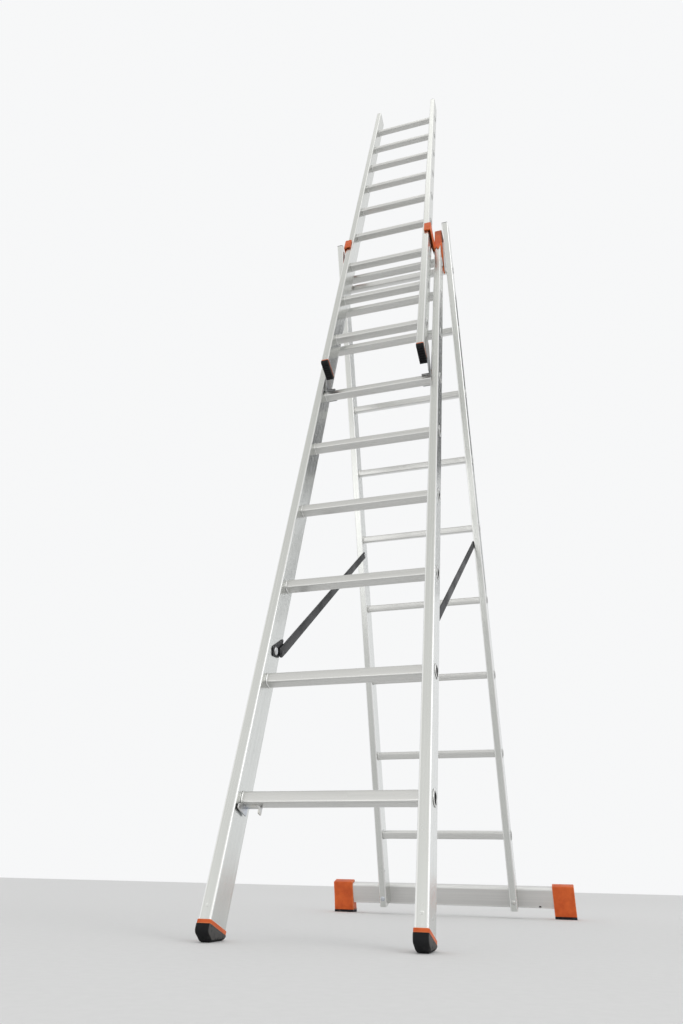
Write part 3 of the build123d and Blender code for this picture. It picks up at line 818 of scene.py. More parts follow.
@dataclass(frozen=True)
class DustyRubber(Finish):
    """Matt black rubber with a coarse grain, pale dust near the floor and scuffed rims."""

    rough: float = 0.72
    rough_spread: float = 0.15
    grain_scale: float = 850.0
    handling_scale: float = 4.0
    wear_amount: float = 0.7
    bump_strength: float = 0.30
    bump_depth: float = 0.0006
    base: Colour = (0.0065, 0.007, 0.0078, 1.0)
    pale: Colour = (0.014, 0.0148, 0.016, 1.0)
    dust: Colour = (0.15, 0.145, 0.14, 1.0)
    dust_height: float = 0.018

    def fill(self, ground: Ground) -> tuple[Socket, dict[str, object]]:
        """Tone patches, scuffs on the rims and dust that thickens towards the floor.

        Args:
            ground: What the material starts from.

        Returns:
            The surface's height and the shader's inputs.
        """
        nodes, marks, wear = ground.nodes, ground.marks, ground.wear
        grain = self.grain(ground)
        height = nodes.add("ShaderNodeSeparateXYZ", {0: ground.spot})[2]
        dusty = nodes.sum("MULTIPLY", nodes.window(height, self.dust_height, 0.0), marks["Smudge"])
        tone = nodes.blend(grain["Tone"], self.base, self.pale)
        scuffed = nodes.tint(wear["Wear"], 0.5, tone, self.dust)
        rim = nodes.tint(wear["Rim"], 0.12, scuffed, self.dust)
        return grain["Height"], {
            "Base_Color": nodes.tint(dusty, 0.45, rim, self.dust),
            "Roughness": nodes.span(marks["Smudge"], self.rough, self.rough + self.rough_spread),
            "Specular_IOR_Level": 0.22,
        }


@dataclass(frozen=True)
class PaintedSteel(Finish):
    """Black coated steel: fine orange-peel, dull patches, and bare metal where the edges are chipped."""

    rough: float = 0.42
    rough_spread: float = 0.18
    grain_scale: float = 520.0
    handling_scale: float = 3.0
    wear_amount: float = 0.50
    bump_strength: float = 0.12
    coat: Colour = (0.010, 0.0105, 0.0115, 1.0)
    worn: Colour = (0.024, 0.025, 0.027, 1.0)
    bare: Colour = (0.42, 0.42, 0.43, 1.0)

    def fill(self, ground: Ground) -> tuple[Socket, dict[str, object]]:
        """Coat with rubbed patches, and chips that are metallic.

        Args:
            ground: What the material starts from.

        Returns:
            The surface's height and the shader's inputs.
        """
        nodes, marks, chips = ground.nodes, ground.marks, ground.wear["Wear"]
        tone = nodes.blend(marks["Smudge"], self.coat, self.worn)
        scratched = nodes.tint(marks["Scratch"], 0.3, tone, self.bare)
        return self.grain(ground)["Height"], {
            "Base_Color": nodes.blend(chips, scratched, self.bare),
            "Metallic": chips,
            "Roughness": nodes.span(marks["Cloud"], self.rough, self.rough + self.rough_spread),
            "Specular_IOR_Level": 0.30,
        }


@dataclass(frozen=True)
class PlatedSteel(Finish):
    """Zinc-plated steel: cloudy passivated patches with a faint warm and cool cast."""

    rough: float = 0.28
    rough_spread: float = 0.2
    grain_scale: float = 700.0
    handling_scale: float = 6.0
    bump_strength: float = 0.08
    bump_depth: float = 0.0003
    warm: Colour = (0.66, 0.64, 0.58, 1.0)
    cool: Colour = (0.60, 0.63, 0.68, 1.0)
    # Painted highlight: pale colour laid on the rims.
    bright: Colour = (0.80, 0.80, 0.80, 1.0)

    def fill(self, ground: Ground) -> tuple[Socket, dict[str, object]]:
        """Warm and cool patches, a fine crystal grain and a painted highlight on the rims.

        Args:
            ground: What the material starts from.

        Returns:
            The surface's height and the shader's inputs.
        """
        nodes = ground.nodes
        grain = self.grain(ground)
        tone = nodes.blend(ground.marks["Cloud"], self.warm, self.cool)
        # Painted highlight: the rims are tinted towards the pale colour.
        return grain["Height"], {
            "Base_Color": nodes.tint(ground.wear["Rim"], 0.6, tone, self.bright),
            "Metallic": 1.0,
            "Roughness": nodes.span(grain["Tone"], self.rough, self.rough + self.rough_spread),
        }


class Finishes:
    """Every finish of the ladder, made once."""

    def __init__(self) -> None:
        """Builds the shared groups and the finishes on them."""
        effects = Effects()
        self.stile = ExtrudedAluminium("stile_aluminium", "aluminium", effects)
        self.rung = ExtrudedAluminium(
            "rung_aluminium",
            "aluminium",
            effects,
            rough=0.24,
            light=(0.77, 0.77, 0.75, 1.0),
            dark=(0.65, 0.65, 0.635, 1.0),
            fine=700.0,
        )
        self.bar = ExtrudedAluminium(
            "bar_aluminium",
            "aluminium",
            effects,
            rough=0.44,
            light=(0.80, 0.79, 0.775, 1.0),
            dark=(0.69, 0.685, 0.675, 1.0),
        )
        self.orange = MouldedPlastic("orange_moulding", "orange_plastic", effects)
        self.black = MouldedPlastic(
            "black_moulding",
            "black_plastic",
            effects,
            deep=(0.022, 0.022, 0.024, 1.0),
            bright=(0.034, 0.034, 0.037, 1.0),
            rubbed=(0.11, 0.11, 0.11, 1.0),
        )
        self.rubber = DustyRubber("foot_rubber", "black_rubber", effects)
        self.painted = PaintedSteel("strut_steel", "black_steel", effects)
        self.plated = PlatedSteel("plated_steel", "zinc_steel", effects)
        # Darker copy of the plated steel for the hooks: partly the hooks' own duller steel, partly painted
        # shade for their shadowed seats over the rung.
        self.hook = PlatedSteel(
            "shaded_hook_steel",
            "zinc_steel",
            effects,
            warm=(0.36, 0.35, 0.33, 1.0),
            cool=(0.30, 0.31, 0.33, 1.0),
            bright=(0.60, 0.60, 0.59, 1.0),
        )
        self.rivet = PlatedSteel(
            "rivet_steel",
            "zinc_steel",
            effects,
            warm=(0.050, 0.050, 0.052, 1.0),
            cool=(0.040, 0.042, 0.046, 1.0),
            bright=(0.15, 0.15, 0.155, 1.0),
        )


@dataclass
class Assembly:
    """Base of the sub-assemblies: holds the finishes and hands over each finished piece."""

    finishes: Finishes

    def settle(self, shell: Shell, node: str, kind: str, body: str, finish: Finish) -> None:
        """Builds a piece, dresses it and gives it its body and the node it stands for.

        Args:
            shell: The piece's surfaces.
            node: Node of the frame that it stands for.
            kind: What the piece is; its name is the node's with this after it.
            body: Body it moves with.
            finish: Its finish.
        """
        piece = shell.build(f"{node}.{kind}")
        piece.data.materials.append(finish.material())
        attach(piece, body)
        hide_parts(node)
        LOG.info("%s: %d faces on %s", piece.name, len(piece.data.polygons), body)


@dataclass
class LadderSection(Assembly):
    """One section: two hollow stiles pierced by nine hollow rungs.

    A rung's tables hold, for each ring, its place across, its growth, its corner radius and the depth of its
    grooves. The collar and the bore are placed from a stile's inner face, the mouth from its outer one.
    """

    name: str
    place: SectionFrame
    body: str
    inner: float
    first_rung: float
    width: float = 25.0
    depth: float = 73.0
    length: float = 2680.0
    wall: float = 1.8
    corner: float = 3.2
    edge_band: float = 1.2
    pitch: float = 280.0
    count: int = 9
    rung_depth: float = 28.0
    rung_height: float = 25.0
    rung_overlap: float = 0.8
    groove_count: int = 6
    groove_reach: tuple[float, ...] = (-0.11, -0.07, 0.07, 0.11)
    rung_middle: Ring = (40.0, 0.0, 4.2, 0.75)
    collar: tuple[Ring, ...] = (
        (-27.0, 0.0, 4.2, 0.75),
        (-25.0, 0.0, 4.2, 0.75),
        (-23.0, 0.2, 4.4, 0.2),
        (-22.0, 0.3, 4.6, 0.0),
        (-4.0, 0.3, 5.4, 0.0),
        (-2.9, 0.5, 6.0, 0.0),
        (-2.6, 1.3, 6.8, 0.0),
        (-2.0, 2.1, 8.2, 0.0),
        (-1.1, 2.5, 9.2, 0.0),
        (-0.4, 2.2, 9.2, 0.0),
        (0.0, 1.4, 9.0, 0.0),
        (0.6, 0.0, 8.6, 0.0),
    )
    mouth: tuple[Ring, ...] = (
        (-0.6, 0.0, 9.0, 0.0),
        (0.0, 1.6, 10.0, 0.0),
        (0.5, 2.7, 11.2, 0.0),
        (1.2, 3.0, 11.6, 0.0),
        (1.9, 2.5, 11.2, 0.0),
        (2.4, 1.2, 10.2, 0.0),
        (2.2, 0.0, 9.2, 0.0),
        (1.2, -1.0, 8.4, 0.0),
        (-1.5, -1.6, 7.8, 0.0),
    )
    bore: tuple[Ring, ...] = ((0.0, -1.6, 7.6, 0.0), (-24.0, -2.6, 5.0, 0.0))
    bore_middle: Ring = (40.0, -2.6, 4.0, 0.0)
    hollow_below: float = -0.5
    rim_above: float = 2.0
    punch_up: float = 0.0
    punch_ring: tuple[Point, ...] = ((0.05, 0.5), (-0.02, 1.3), (0.55, 2.5), (0.5, 3.0), (-0.1, 3.9))

    def build(self) -> None:
        """Builds both stiles and every rung."""
        for side in Side:
            self.build_stile(side)
        for number in range(1, self.count + 1):
            self.build_rung(number)

    def stile_outline(self) -> tuple[np.ndarray, np.ndarray, np.ndarray]:
        """Cross-section of a stile, with points beside its openings and beside its round corners.

        Returns:
            The outline's points, their edge mask, and the numbers of the cells that the rungs pass.
        """
        inner = self.inner
        outer = inner + self.width
        half = self.depth / 2
        arcs = rounded([(outer, -half), (outer, half), (inner, half), (inner, -half)], self.corner)
        arcs = arcs.reshape(4, -1, 2)
        beside = self.corner + self.edge_band
        gate = self.rung_depth / 2 - self.rung_overlap
        levels = np.array([beside - half, -gate, gate, half - beside])
        outward = np.stack([np.full(4, outer), levels], axis=1)
        inward = np.stack([np.full(4, inner), levels[::-1]], axis=1)
        back = np.array([[outer - beside, half], [inner + beside, half]])
        ahead = np.array([[inner + beside, -half], [outer - beside, -half]])
        sides = [arcs[0], outward, arcs[1], back, arcs[2], inward, arcs[3], ahead]
        sizes = [len(points) for points in sides]
        columns = np.cumsum(sizes)[[0, 4]] + 1
        return np.concatenate(sides), np.repeat([1.0, 0.0] * 4, sizes), columns

    def build_stile(self, side: Side) -> None:
        """Builds one stile: a hollow bar with an opening for every rung in its inner and outer wall.

        Args:
            side: Which stile.
        """
        outline, mask, columns = self.stile_outline()
        gate = self.rung_height / 2 - self.rung_overlap
        rungs = self.first_rung + self.pitch * np.arange(self.count)
        edges = np.stack([rungs - gate, rungs + gate], axis=1).ravel()
        stations = np.array([0.0, *edges, self.length])
        rows = np.arange(self.count) * 2 + 1
        shell = Shell(self.place)
        shell.pierced(Axis.UP, outline, mask, self.wall, stations, (rows, columns), side)
        if self.punch_up:
            self.punch(shell, side)
        self.settle(shell, f"{self.name}_stile_{side.word}", "tube", self.body, self.finishes.stile)

    def punch(self, shell: Shell, side: Side) -> None:
        """Punched marks that hold the foot's insert: a shallow ring on the front face and one outside.

        Args:
            shell: The stile's surfaces.
            side: Which stile.
        """
        outer = self.inner + self.width
        ahead = [(-self.depth / 2 - level, radius) for level, radius in self.punch_ring]
        outward = [(outer + level, radius) for level, radius in self.punch_ring]
        shell.turned(Axis.BACK, (outer - self.width / 2, self.punch_up), ahead, (side,))
        shell.turned(Axis.ACROSS, (0.0, self.punch_up), outward, (side,))

    def rung_outlines(self, grow: np.ndarray, corner: np.ndarray, groove: np.ndarray) -> np.ndarray:
        """Cross-sections of a rung.

        Each is a rectangle grown by a distance, with quarter circles at its corners and a row of grooves
        along its upper side.

        Args:
            grow: Growth of each cross-section.
            corner: Corner radius of each.
            groove: Depth of each one's grooves.

        Returns:
            Points indexed by cross-section, point and coordinate (back, up).
        """
        half = (self.rung_depth / 2 + grow)[:, None]
        tall = (self.rung_height / 2 + grow)[:, None]
        radius = corner[:, None]
        turn = np.linspace(0.0, np.pi / 2, 6)[None, :]
        centres = (np.arange(self.groove_count) + 0.5) / self.groove_count * 2 - 1
        share = (centres[:, None] + np.array(self.groove_reach)).ravel()[::-1]
        sunk = np.tile([0.0, 1.0, 1.0, 0.0], self.groove_count)
        tread = np.stack([(half - radius) * share, tall - groove[:, None] * sunk], axis=-1)
        quarters = []
        for quarter, (side, level) in enumerate(((1, 1), (-1, 1), (-1, -1), (1, -1))):
            angle = turn + quarter * np.pi / 2
            x = side * (half - radius) + radius * np.cos(angle)
            y = level * (tall - radius) + radius * np.sin(angle)
            quarters.append(np.stack([x, y], axis=-1))
        return np.concatenate([quarters[0], tread, *quarters[1:]], axis=1)

    def build_rung(self, number: int) -> None:
        """Builds one rung.

        Its cross-section is carried from mouth to mouth: grooved in the middle, plain and a little fuller
        where it is formed beside the stiles, swollen into a collar against them and flared into a lip
        outside, then back along the plain bore.

        Args:
            number: Which rung, counted from the lower end.
        """
        inner = np.array([self.inner, 0.0, 0.0, 0.0])
        outer = np.array([self.inner + self.width, 0.0, 0.0, 0.0])
        formed = [np.add(self.collar, inner), np.add(self.mouth, outer), np.add(self.bore, inner)]
        run = np.vstack([self.rung_middle, *formed, self.bore_middle])
        table = np.vstack([run, run[::-1] * np.array([-1.0, 1.0, 1.0, 1.0])])
        across, grow, corner, groove = table.T
        outlines = self.rung_outlines(grow, corner, groove)
        outlines[..., 1] += self.first_rung + self.pitch * (number - 1)
        # Bore rings are marked BORE for painted shade, the proud collar and lip rings 1 for a painted
        # highlight.
        proud = np.where(grow < self.hollow_below, BORE, (grow > self.rim_above).astype(float))
        shell = Shell(self.place)
        shell.loft(carried(Axis.ACROSS, outlines, across), proud[:, None], looped=True)
        self.settle(shell, f"{self.name}_rung_{number}", "tread", self.body, self.finishes.rung)


@dataclass(frozen=True)
class Insert:
    """A pair of stile inserts: its node, section, height of the stile's end and flange, negative below it."""

    node: str
    place: SectionFrame
    body: str
    inner: float
    level: float
    flange: float
    proud: float = 0.0


@dataclass
class StileEnds(Assembly):
    """Feet under the front and top sections, and the plugs in the open upper ends.

    A row of foot_sides holds a side view's place from the foot's side, how far it is drawn in, how far its
    sole is raised off the floor, and its edge mask.
    """

    width: float = 25.0
    depth: float = 73.0
    length: float = 2680.0
    overhang: float = 1.5
    front_inner: float = 185.0
    top_inner: float = 150.0
    rear_inner: float = 220.0
    front_rim: float = 7.0
    top_rim: float = 4.0
    flange: float = 2.5
    flange_corner: float = 3.4
    plug: float = 12.0
    plug_wall: float = 2.0
    plug_corner: float = 1.5
    nose: float = 22.0
    toe: float = 14.0
    foot_radii: tuple[float, ...] = (0.8, 9.0, 9.0, 4.0, 0.8)
    foot_steps: int = 6
    foot_tread: Tread = Tread(4, 10.0)
    foot_sides: tuple[Ring, ...] = (
        (0.0, 1.0, 6.5, 1.0),
        (0.5, 0.3, 5.0, 1.0),
        (2.0, 0.0, 2.6, 0.3),
        (4.2, 0.0, 0.8, 0.0),
        (7.5, 0.0, 0.0, 0.0),
    )
    pad: float = 12.0
    pad_radii: tuple[float, ...] = (7.0, 2.0, 0.6, 0.6)
    pad_steps: int = 5
    pad_tread: Tread = Tread(6, 9.5)

    def build(self) -> None:
        """Builds rims, rubber feet and end plugs."""
        front = (FRONT, "front_section", self.front_inner)
        top = (TOP, "top_section", self.top_inner)
        rear = (REAR, "rear_section", self.rear_inner)
        orange, black = self.finishes.orange, self.finishes.black
        self.build_inserts(Insert("front_foot_rims", *front, 0.0, -self.front_rim, self.overhang), orange)
        self.build_inserts(Insert("top_foot_rims", *top, 0.0, -self.top_rim), orange)
        self.build_inserts(Insert("top_end_plugs", *top, self.length, self.flange), black)
        self.build_inserts(Insert("rear_end_plugs", *rear, self.length, self.flange), black)
        self.build_front_feet()
        self.build_top_feet()

    def build_inserts(self, insert: Insert, finish: Finish) -> None:
        """Builds a pair of stile inserts: a flange outside the stile's end and a short plug in its bore.

        Args:
            insert: What the pair is and where it sits.
            finish: Its finish.
        """
        level, flange = insert.level, insert.flange
        middle = insert.inner + self.width / 2
        shell = Shell(insert.place)
        for grow, corner, end, bevel in (
            (insert.proud, self.flange_corner, level + flange, 0.8),
            (-self.plug_wall, self.plug_corner, level - math.copysign(self.plug, flange), 0.6),
        ):
            wide = self.width / 2 + grow
            deep = self.depth / 2 + grow
            outline = rounded(rectangle((middle - wide, -deep), (middle + wide, deep)), corner)
            shell.prism(Axis.UP, outline, min(level, end), max(level, end), bevel, band=0.5)
        self.settle(shell, insert.node, "inserts", insert.body, finish)

    @staticmethod
    def floor(back: float) -> float:
        """Height along the front stile at which a line at this distance back meets the floor."""
        lean = math.radians(FRONT.lean)
        return (back * math.sin(lean) - FRONT.origin[2]) / math.cos(lean)

    def foot_outline(self, half: float, lift: float) -> np.ndarray:
        """Side view of a front foot, with grooves across its flat sole.

        Args:
            half: Half of its depth.
            lift: How far its sole is raised off the floor.

        Returns:
            The outline's points, one row each (back, up).
        """
        nose = -self.depth / 2 - self.overhang + self.nose
        corners = [
            (-half, -self.front_rim),
            (-half, -self.front_rim - self.toe),
            (nose, self.floor(nose) + lift),
            (half, self.floor(half) + lift),
            (half, -self.front_rim),
        ]
        outline = rounded(corners, self.foot_radii, self.foot_steps)
        return self.foot_tread.cut(outline, 3 * self.foot_steps + 2)

    def build_front_feet(self) -> None:
        """Builds the two rubber feet: side views carried across, raised off the floor towards both sides."""
        half = self.depth / 2 + self.overhang
        across, drawn, lift, mark = np.array(self.foot_sides).T
        outlines = np.stack([self.foot_outline(half - less, raised) for less, raised in zip(drawn, lift)])
        outlines = np.concatenate([outlines, outlines[::-1]])
        wide = self.width + 2 * self.overhang
        along = np.concatenate([across, wide - across[::-1]]) + self.front_inner - self.overhang
        edge = np.concatenate([mark, mark[::-1]])[:, None]
        for side in Side:
            shell = Shell(FRONT)
            shell.loft(carried(Axis.ACROSS, outlines, along, side), edge)
            self.settle(shell, f"front_foot_{side.word}", "rubber", "front_section", self.finishes.rubber)

    def build_top_feet(self) -> None:
        """Builds the top section's two ribbed rubber pads."""
        half = self.depth / 2
        corners = rectangle((-half, -self.top_rim - self.pad), (half, -self.top_rim))
        outline = self.pad_tread.cut(rounded(corners, self.pad_radii, self.pad_steps), self.pad_steps)
        shell = Shell(TOP)
        shell.prism(Axis.ACROSS, outline, self.top_inner, self.top_inner + self.width, bevel=0.9, band=0.4)
        self.settle(shell, "top_feet", "rubber", "top_section", self.finishes.rubber)


@dataclass
class HeadFittings(Assembly):
    """Guides on the front stiles' heads with the hinge leaves, the rear hinge plates and the pins."""

    arm_in: float = 179.9
    arm_out: float = 184.9
    arm_back: float = 7.5
    leaf_in: float = 210.1
    leaf_out: float = 214.6
    leaf_back: float = 40.0
    plate_back: float = -36.6
    plate_front: float = -40.6
    lip_back: float = -118.0
    lip_front: float = -126.0
    lip_end: float = 157.0
    claw_low: float = 2523.0
    claw_high: float = 2586.0
    band_low: Point = (160.0, 2549.0)
    band_high: Point = (182.0, 2558.0)
    bridge_out: float = 192.0
    shoulder: float = 2563.0
    point: float = 2519.0
    point_half: float = 2.5
    cap_low: float = 2680.0
    cap_high: float = 2684.0
    half_depth: float = 36.5
    boss_front: float = 30.0
    boss_back: float = 57.8
    boss_low: float = 2463.2
    boss_neck: float = 2491.0
    hinge: Point = (44.0, 2477.0)
    hinge_plate_in: float = 215.4
    hinge_plate_out: float = 219.9
    hinge_plate: tuple[Point, ...] = (
        (-57.8, 2440.2),
        (-30.2, 2440.2),
        (-28.0, 2508.0),
        (8.5, 2508.0),
        (8.5, 2592.0),
        (-36.5, 2592.0),
        (-57.8, 2470.0),
    )
    hinge_plate_radii: tuple[float, ...] = (13.0, 13.0, 6.0, 4.0, 4.0, 6.0, 20.0)
    pin: tuple[Point, ...] = (
        (206.6, 2.0),
        (206.9, 4.6),
        (207.8, 6.6),
        (208.8, 7.2),
        (210.1, 7.2),
        (210.2, 5.5),
        (219.8, 5.5),
        (219.9, 7.2),
        (221.2, 7.2),
        (222.2, 6.6),
        (223.1, 4.6),
        (223.4, 2.0),
    )

    def build(self) -> None:
        """Builds guides, hinge plates and pins."""
        for side in Side:
            shell = Shell(FRONT)
            self.add_claw(shell, side)
            self.add_head(shell, side)
            self.settle(shell, f"guide_{side.word}", "moulding", "front_section", self.finishes.orange)
        self.build_hinge()

    def add_claw(self, shell: Shell, side: Side) -> None:
        """Adds a guide's claw round the top section's stile, with a raised band and the bridge behind it.

        Args:
            shell: The guide's surfaces.
            side: Which guide.
        """
        claw = [
            (self.arm_out, self.arm_back),
            (self.arm_in, self.arm_back),
            (self.arm_in, self.lip_back),
            (self.lip_end, self.lip_back),
            (self.lip_end, self.lip_front),
            (self.arm_out, self.lip_front),
        ]
        outline = rounded(claw, (1.5, 1.5, 1.2, 1.8, 1.8, 5.0))
        shell.prism(Axis.UP, outline, self.claw_low, self.claw_high, 1.2, 0.8, (side,))
        band = rounded(rectangle(self.band_low, self.band_high), 2.0)
        shell.prism(Axis.BACK, band, self.lip_front - 1.0, self.lip_front + 0.6, 0.7, 0.4, (side,))
        bridge = rounded(rectangle((self.arm_in, self.claw_low), (self.bridge_out, self.claw_high)), 1.5)
        shell.prism(Axis.BACK, bridge, self.plate_front + 0.1, self.plate_back - 0.1, 1.0, 0.5, (side,))

    def add_head(self, shell: Shell, side: Side) -> None:
        """Adds a guide's pointed front plate, its cap and its hinge leaf with the boss.

        Args:
            shell: The guide's surfaces.
            side: Which guide.
        """
        middle = (self.arm_out + self.leaf_out) / 2
        plate = [
            (self.arm_out, self.cap_high),
            (self.arm_out, self.shoulder),
            (middle - self.point_half, self.point),
            (middle + self.point_half, self.point),
            (self.leaf_out, self.shoulder),
            (self.leaf_out, self.cap_high),
        ]
        outline = rounded(plate, (5.0, 12.0, 2.4, 2.4, 12.0, 5.0))
        shell.prism(Axis.BACK, outline, self.plate_front, self.plate_back, 1.2, 0.8, (side,))
        cap = rounded(rectangle((self.arm_out, self.plate_front), (self.leaf_out, self.half_depth)), 3.0)
        shell.prism(Axis.UP, cap, self.cap_low, self.cap_high, 1.4, 0.8, (side,))
        leaf = [
            (self.plate_front, self.cap_high),
            (self.plate_front, self.shoulder),
            (self.boss_front, self.boss_neck),
            (self.boss_front, self.boss_low),
            (self.boss_back, self.boss_low),
            (self.leaf_back, self.shoulder),
            (self.half_depth, self.cap_high),
        ]
        outline = rounded(leaf, (4.0, 14.0, 8.0, 13.6, 13.6, 30.0, 4.0), 6)
        shell.prism(Axis.ACROSS, outline, self.leaf_in, self.leaf_out, 1.0, 0.8, (side,))

    def build_hinge(self) -> None:
        """Builds the hinge plates on the rear stiles' inner faces, and the pins with a dome at each end."""
        outline = rounded(self.hinge_plate, self.hinge_plate_radii, 6)
        plates = Shell(REAR)
        plates.prism(Axis.ACROSS, outline, self.hinge_plate_in, self.hinge_plate_out, bevel=0.8, band=0.8)
        self.settle(plates, "hinge_plates", "leaves", "rear_section", self.finishes.plated)
        pins = Shell(FRONT)
        pins.turned(Axis.ACROSS, self.hinge, self.pin)
        self.settle(pins, "hinge_pins", "turned", "front_section", self.finishes.plated)


@dataclass
class Hooks(Assembly):
    """Bent steel hooks of the top section over a front rung, and the catch under the lowest front rung."""

    seat: float = 1643.9
    sheet: float = 4.0
    plate_in: float = 175.1
    plate_out: float = 178.1
    plate_front: float = -84.0
    plate_top: float = -46.0
    plate_high: float = 1768.0
    plate_bend: float = 1700.0
    plate_toe: float = -32.0
    plate_back: float = 12.0
    plate_heel: float = 1668.0
    plate_radii: tuple[float, ...] = (6.0, 12.0, 1.0, 1.0, 8.0, 6.0)
    tongue_in: float = 150.5
    nose_low: float = 1637.4
    lip_back: float = 18.4
    lip_low: float = 1621.9
    tongue_radii: tuple[float, ...] = (1.6, 1.6, 1.0, 1.0, 1.6, 1.6, 5.0, 5.0)
    catch_in: float = 145.0
    catch_out: float = 182.0
    catch_sheet: float = 3.0
    catch_top: float = 218.5
    catch_front: float = -30.0
    catch_back: float = 14.0
    catch_seat: Point = (-4.0, 10.0)
    catch_drop: float = 17.0
    catch_slope: Point = (16.0, 7.0)

    def build(self) -> None:
        """Builds the hooks and the catch."""
        self.build_top_hooks()
        self.build_catch()

    def build_top_hooks(self) -> None:
        """Builds the hooks: a plate on the stile's outer face, and a tongue over the rung with two lips."""
        plate = [
            (self.plate_front, self.plate_high),
            (self.plate_front, self.plate_bend),
            (self.plate_toe, self.seat),
            (self.plate_back, self.seat),
            (self.plate_back, self.plate_heel),
            (self.plate_top, self.plate_high),
        ]
        reach = self.lip_back - self.sheet
        tongue = [
            (-self.lip_back, self.nose_low),
            (-reach, self.nose_low),
            (-reach, self.seat),
            (reach, self.seat),
            (reach, self.lip_low),
            (self.lip_back, self.lip_low),
            (self.lip_back, self.seat + self.sheet),
            (-self.lip_back, self.seat + self.sheet),
        ]
        shell = Shell(FRONT)
        for outline, inward in (
            (rounded(plate, self.plate_radii), self.plate_in),
            (rounded(tongue, self.tongue_radii), self.tongue_in),
        ):
            shell.prism(Axis.ACROSS, outline, inward, self.plate_out, bevel=0.5, band=0.6)
        self.settle(shell, "top_hooks", "bent", "top_section", self.finishes.hook)

    def build_catch(self) -> None:
        """Builds the catch at the left: a flange reaching to the front, a seat under the rung and a lip."""
        top = self.catch_top
        low = top - self.catch_drop
        ahead, behind = self.catch_seat
        along, down = self.catch_slope
        inward, outward = self.catch_in, self.catch_out
        flange = [
            (self.catch_front + along, top),
            (self.catch_front, top - down),
            (self.catch_front, low),
            (self.catch_back, low),
            (self.catch_back, top),
        ]
        seat = rectangle((inward, top - self.catch_sheet), (outward, top))
        lip = rectangle((ahead, low), (behind, top))
        shell = Shell(FRONT)
        for axis, corners, radii, start, end in (
            (Axis.ACROSS, flange, (2.0, 3.0, 3.0, 3.0, 1.0), outward - self.catch_sheet, outward),
            (Axis.BACK, seat, (0.6, 0.6, 1.6, 1.6), ahead, behind),
            (Axis.ACROSS, lip, (3.0, 3.0, 1.0, 1.0), inward, inward + self.catch_sheet),
        ):
            shell.prism(axis, rounded(corners, radii), start, end, 0.6, 0.5, (Side.LEFT,))
        self.settle(shell, "front_catch", "folded", "front_section", self.finishes.plated)


@dataclass
class Stabiliser(Assembly):
    """Cross bar behind the rear stiles' feet with moulded caps, rubber soles and two bolts."""

    bar_half: float = 433.0
    bar_low: Point = (36.5, -11.0)
    bar_high: Point = (66.5, 55.0)
    bar_radii: tuple[float, ...] = (3.0, 3.0, 6.0, 6.0)
    bar_wall: float = 2.0
    drain_x: float = 318.0
    drain_width: float = 8.0
    drain_height: float = 5.0
    cap_in: float = 365.0
    cap_out: float = 439.0
    cap: tuple[Point, ...] = (
        (33.0, 61.0),
        (33.0, 15.0),
        (28.0, -33.19),
        (75.0, -46.92),
        (70.0, 15.0),
        (70.0, 61.0),
    )
    cap_radii: tuple[float, ...] = (4.0, 30.0, 1.5, 1.5, 30.0, 4.0)
    sole_low: Point = (772.7, 0.0)
    sole_high: Point = (821.6, 8.0)
    sole_radii: tuple[float, ...] = (3.0, 3.0, 0.8, 0.8)
    sole_steps: int = 4
    sole_tread: Tread = Tread(4, 10.5, 3.4)
    bolt_place: Point = (232.5, 28.0)
    bolt: tuple[Point, ...] = (
        (-40.5, 2.6),
        (-40.1, 5.0),
        (-39.0, 7.2),
        (-37.8, 8.0),
        (-36.5, 8.0),
        (-36.4, 5.0),
        (66.4, 5.0),
        (66.5, 4.4),
    )

    def build(self) -> None:
        """Builds bar, caps, soles and bolts."""
        self.build_bar()
        self.build_ends()
        shell = Shell(REAR)
        shell.turned(Axis.BACK, self.bolt_place, self.bolt)
        self.settle(shell, "stabiliser_bolts", "turned", "rear_section", self.finishes.plated)

    def build_bar(self) -> None:
        """Builds the hollow bar.

        Two points on each flat side, a slot's height from the arcs beside it, end the edge mask. The last
        of them is the upper edge of the drain slot low in the front wall.
        """
        arcs = rounded(rectangle(self.bar_low, self.bar_high), self.bar_radii).reshape(4, -1, 2)
        ends = arcs[:, -1]
        starts = np.roll(arcs[:, 0], -1, axis=0)
        step = unit(starts - ends) * self.drain_height
        outline = np.concatenate([arcs, np.stack([ends + step, starts - step], axis=1)], axis=1)
        outline = outline.reshape(-1, 2)
        # The corner arcs are marked as edge, where the bar finish paints a highlight.
        mask = np.tile([1.0] * arcs.shape[1] + [0.0, 0.0], 4)
        half = self.drain_width / 2
        stations = np.array([-self.bar_half, self.drain_x - half, self.drain_x + half, self.bar_half])
        gaps = (np.array([1]), np.array([len(outline) - 1]))
        shell = Shell(REAR)
        shell.pierced(Axis.ACROSS, outline, mask, self.bar_wall, stations, gaps)
        self.settle(shell, "stabiliser_bar", "tube", "rear_section", self.finishes.bar)

    def build_ends(self) -> None:
        """Builds the caps, sleeves with bare faces that flare to their feet, and the grooved soles below."""
        outline = rounded(self.cap, self.cap_radii, 5)
        for side in Side:
            shell = Shell(REAR)
            shell.prism(Axis.ACROSS, outline, self.cap_in, self.cap_out, 2.2, 1.0, (side,))
            self.settle(
                shell, f"stabiliser_cap_{side.word}", "moulding", "rear_section", self.finishes.orange
            )
        outline = rounded(rectangle(self.sole_low, self.sole_high), self.sole_radii, self.sole_steps)
        outline = self.sole_tread.cut(outline, self.sole_steps)
        shell = Shell(FLOOR)
        shell.prism(Axis.ACROSS, outline, self.cap_in, self.cap_out, bevel=1.2, band=0.6)
        self.settle(shell, "stabiliser_soles", "rubber", "rear_section", self.finishes.rubber)


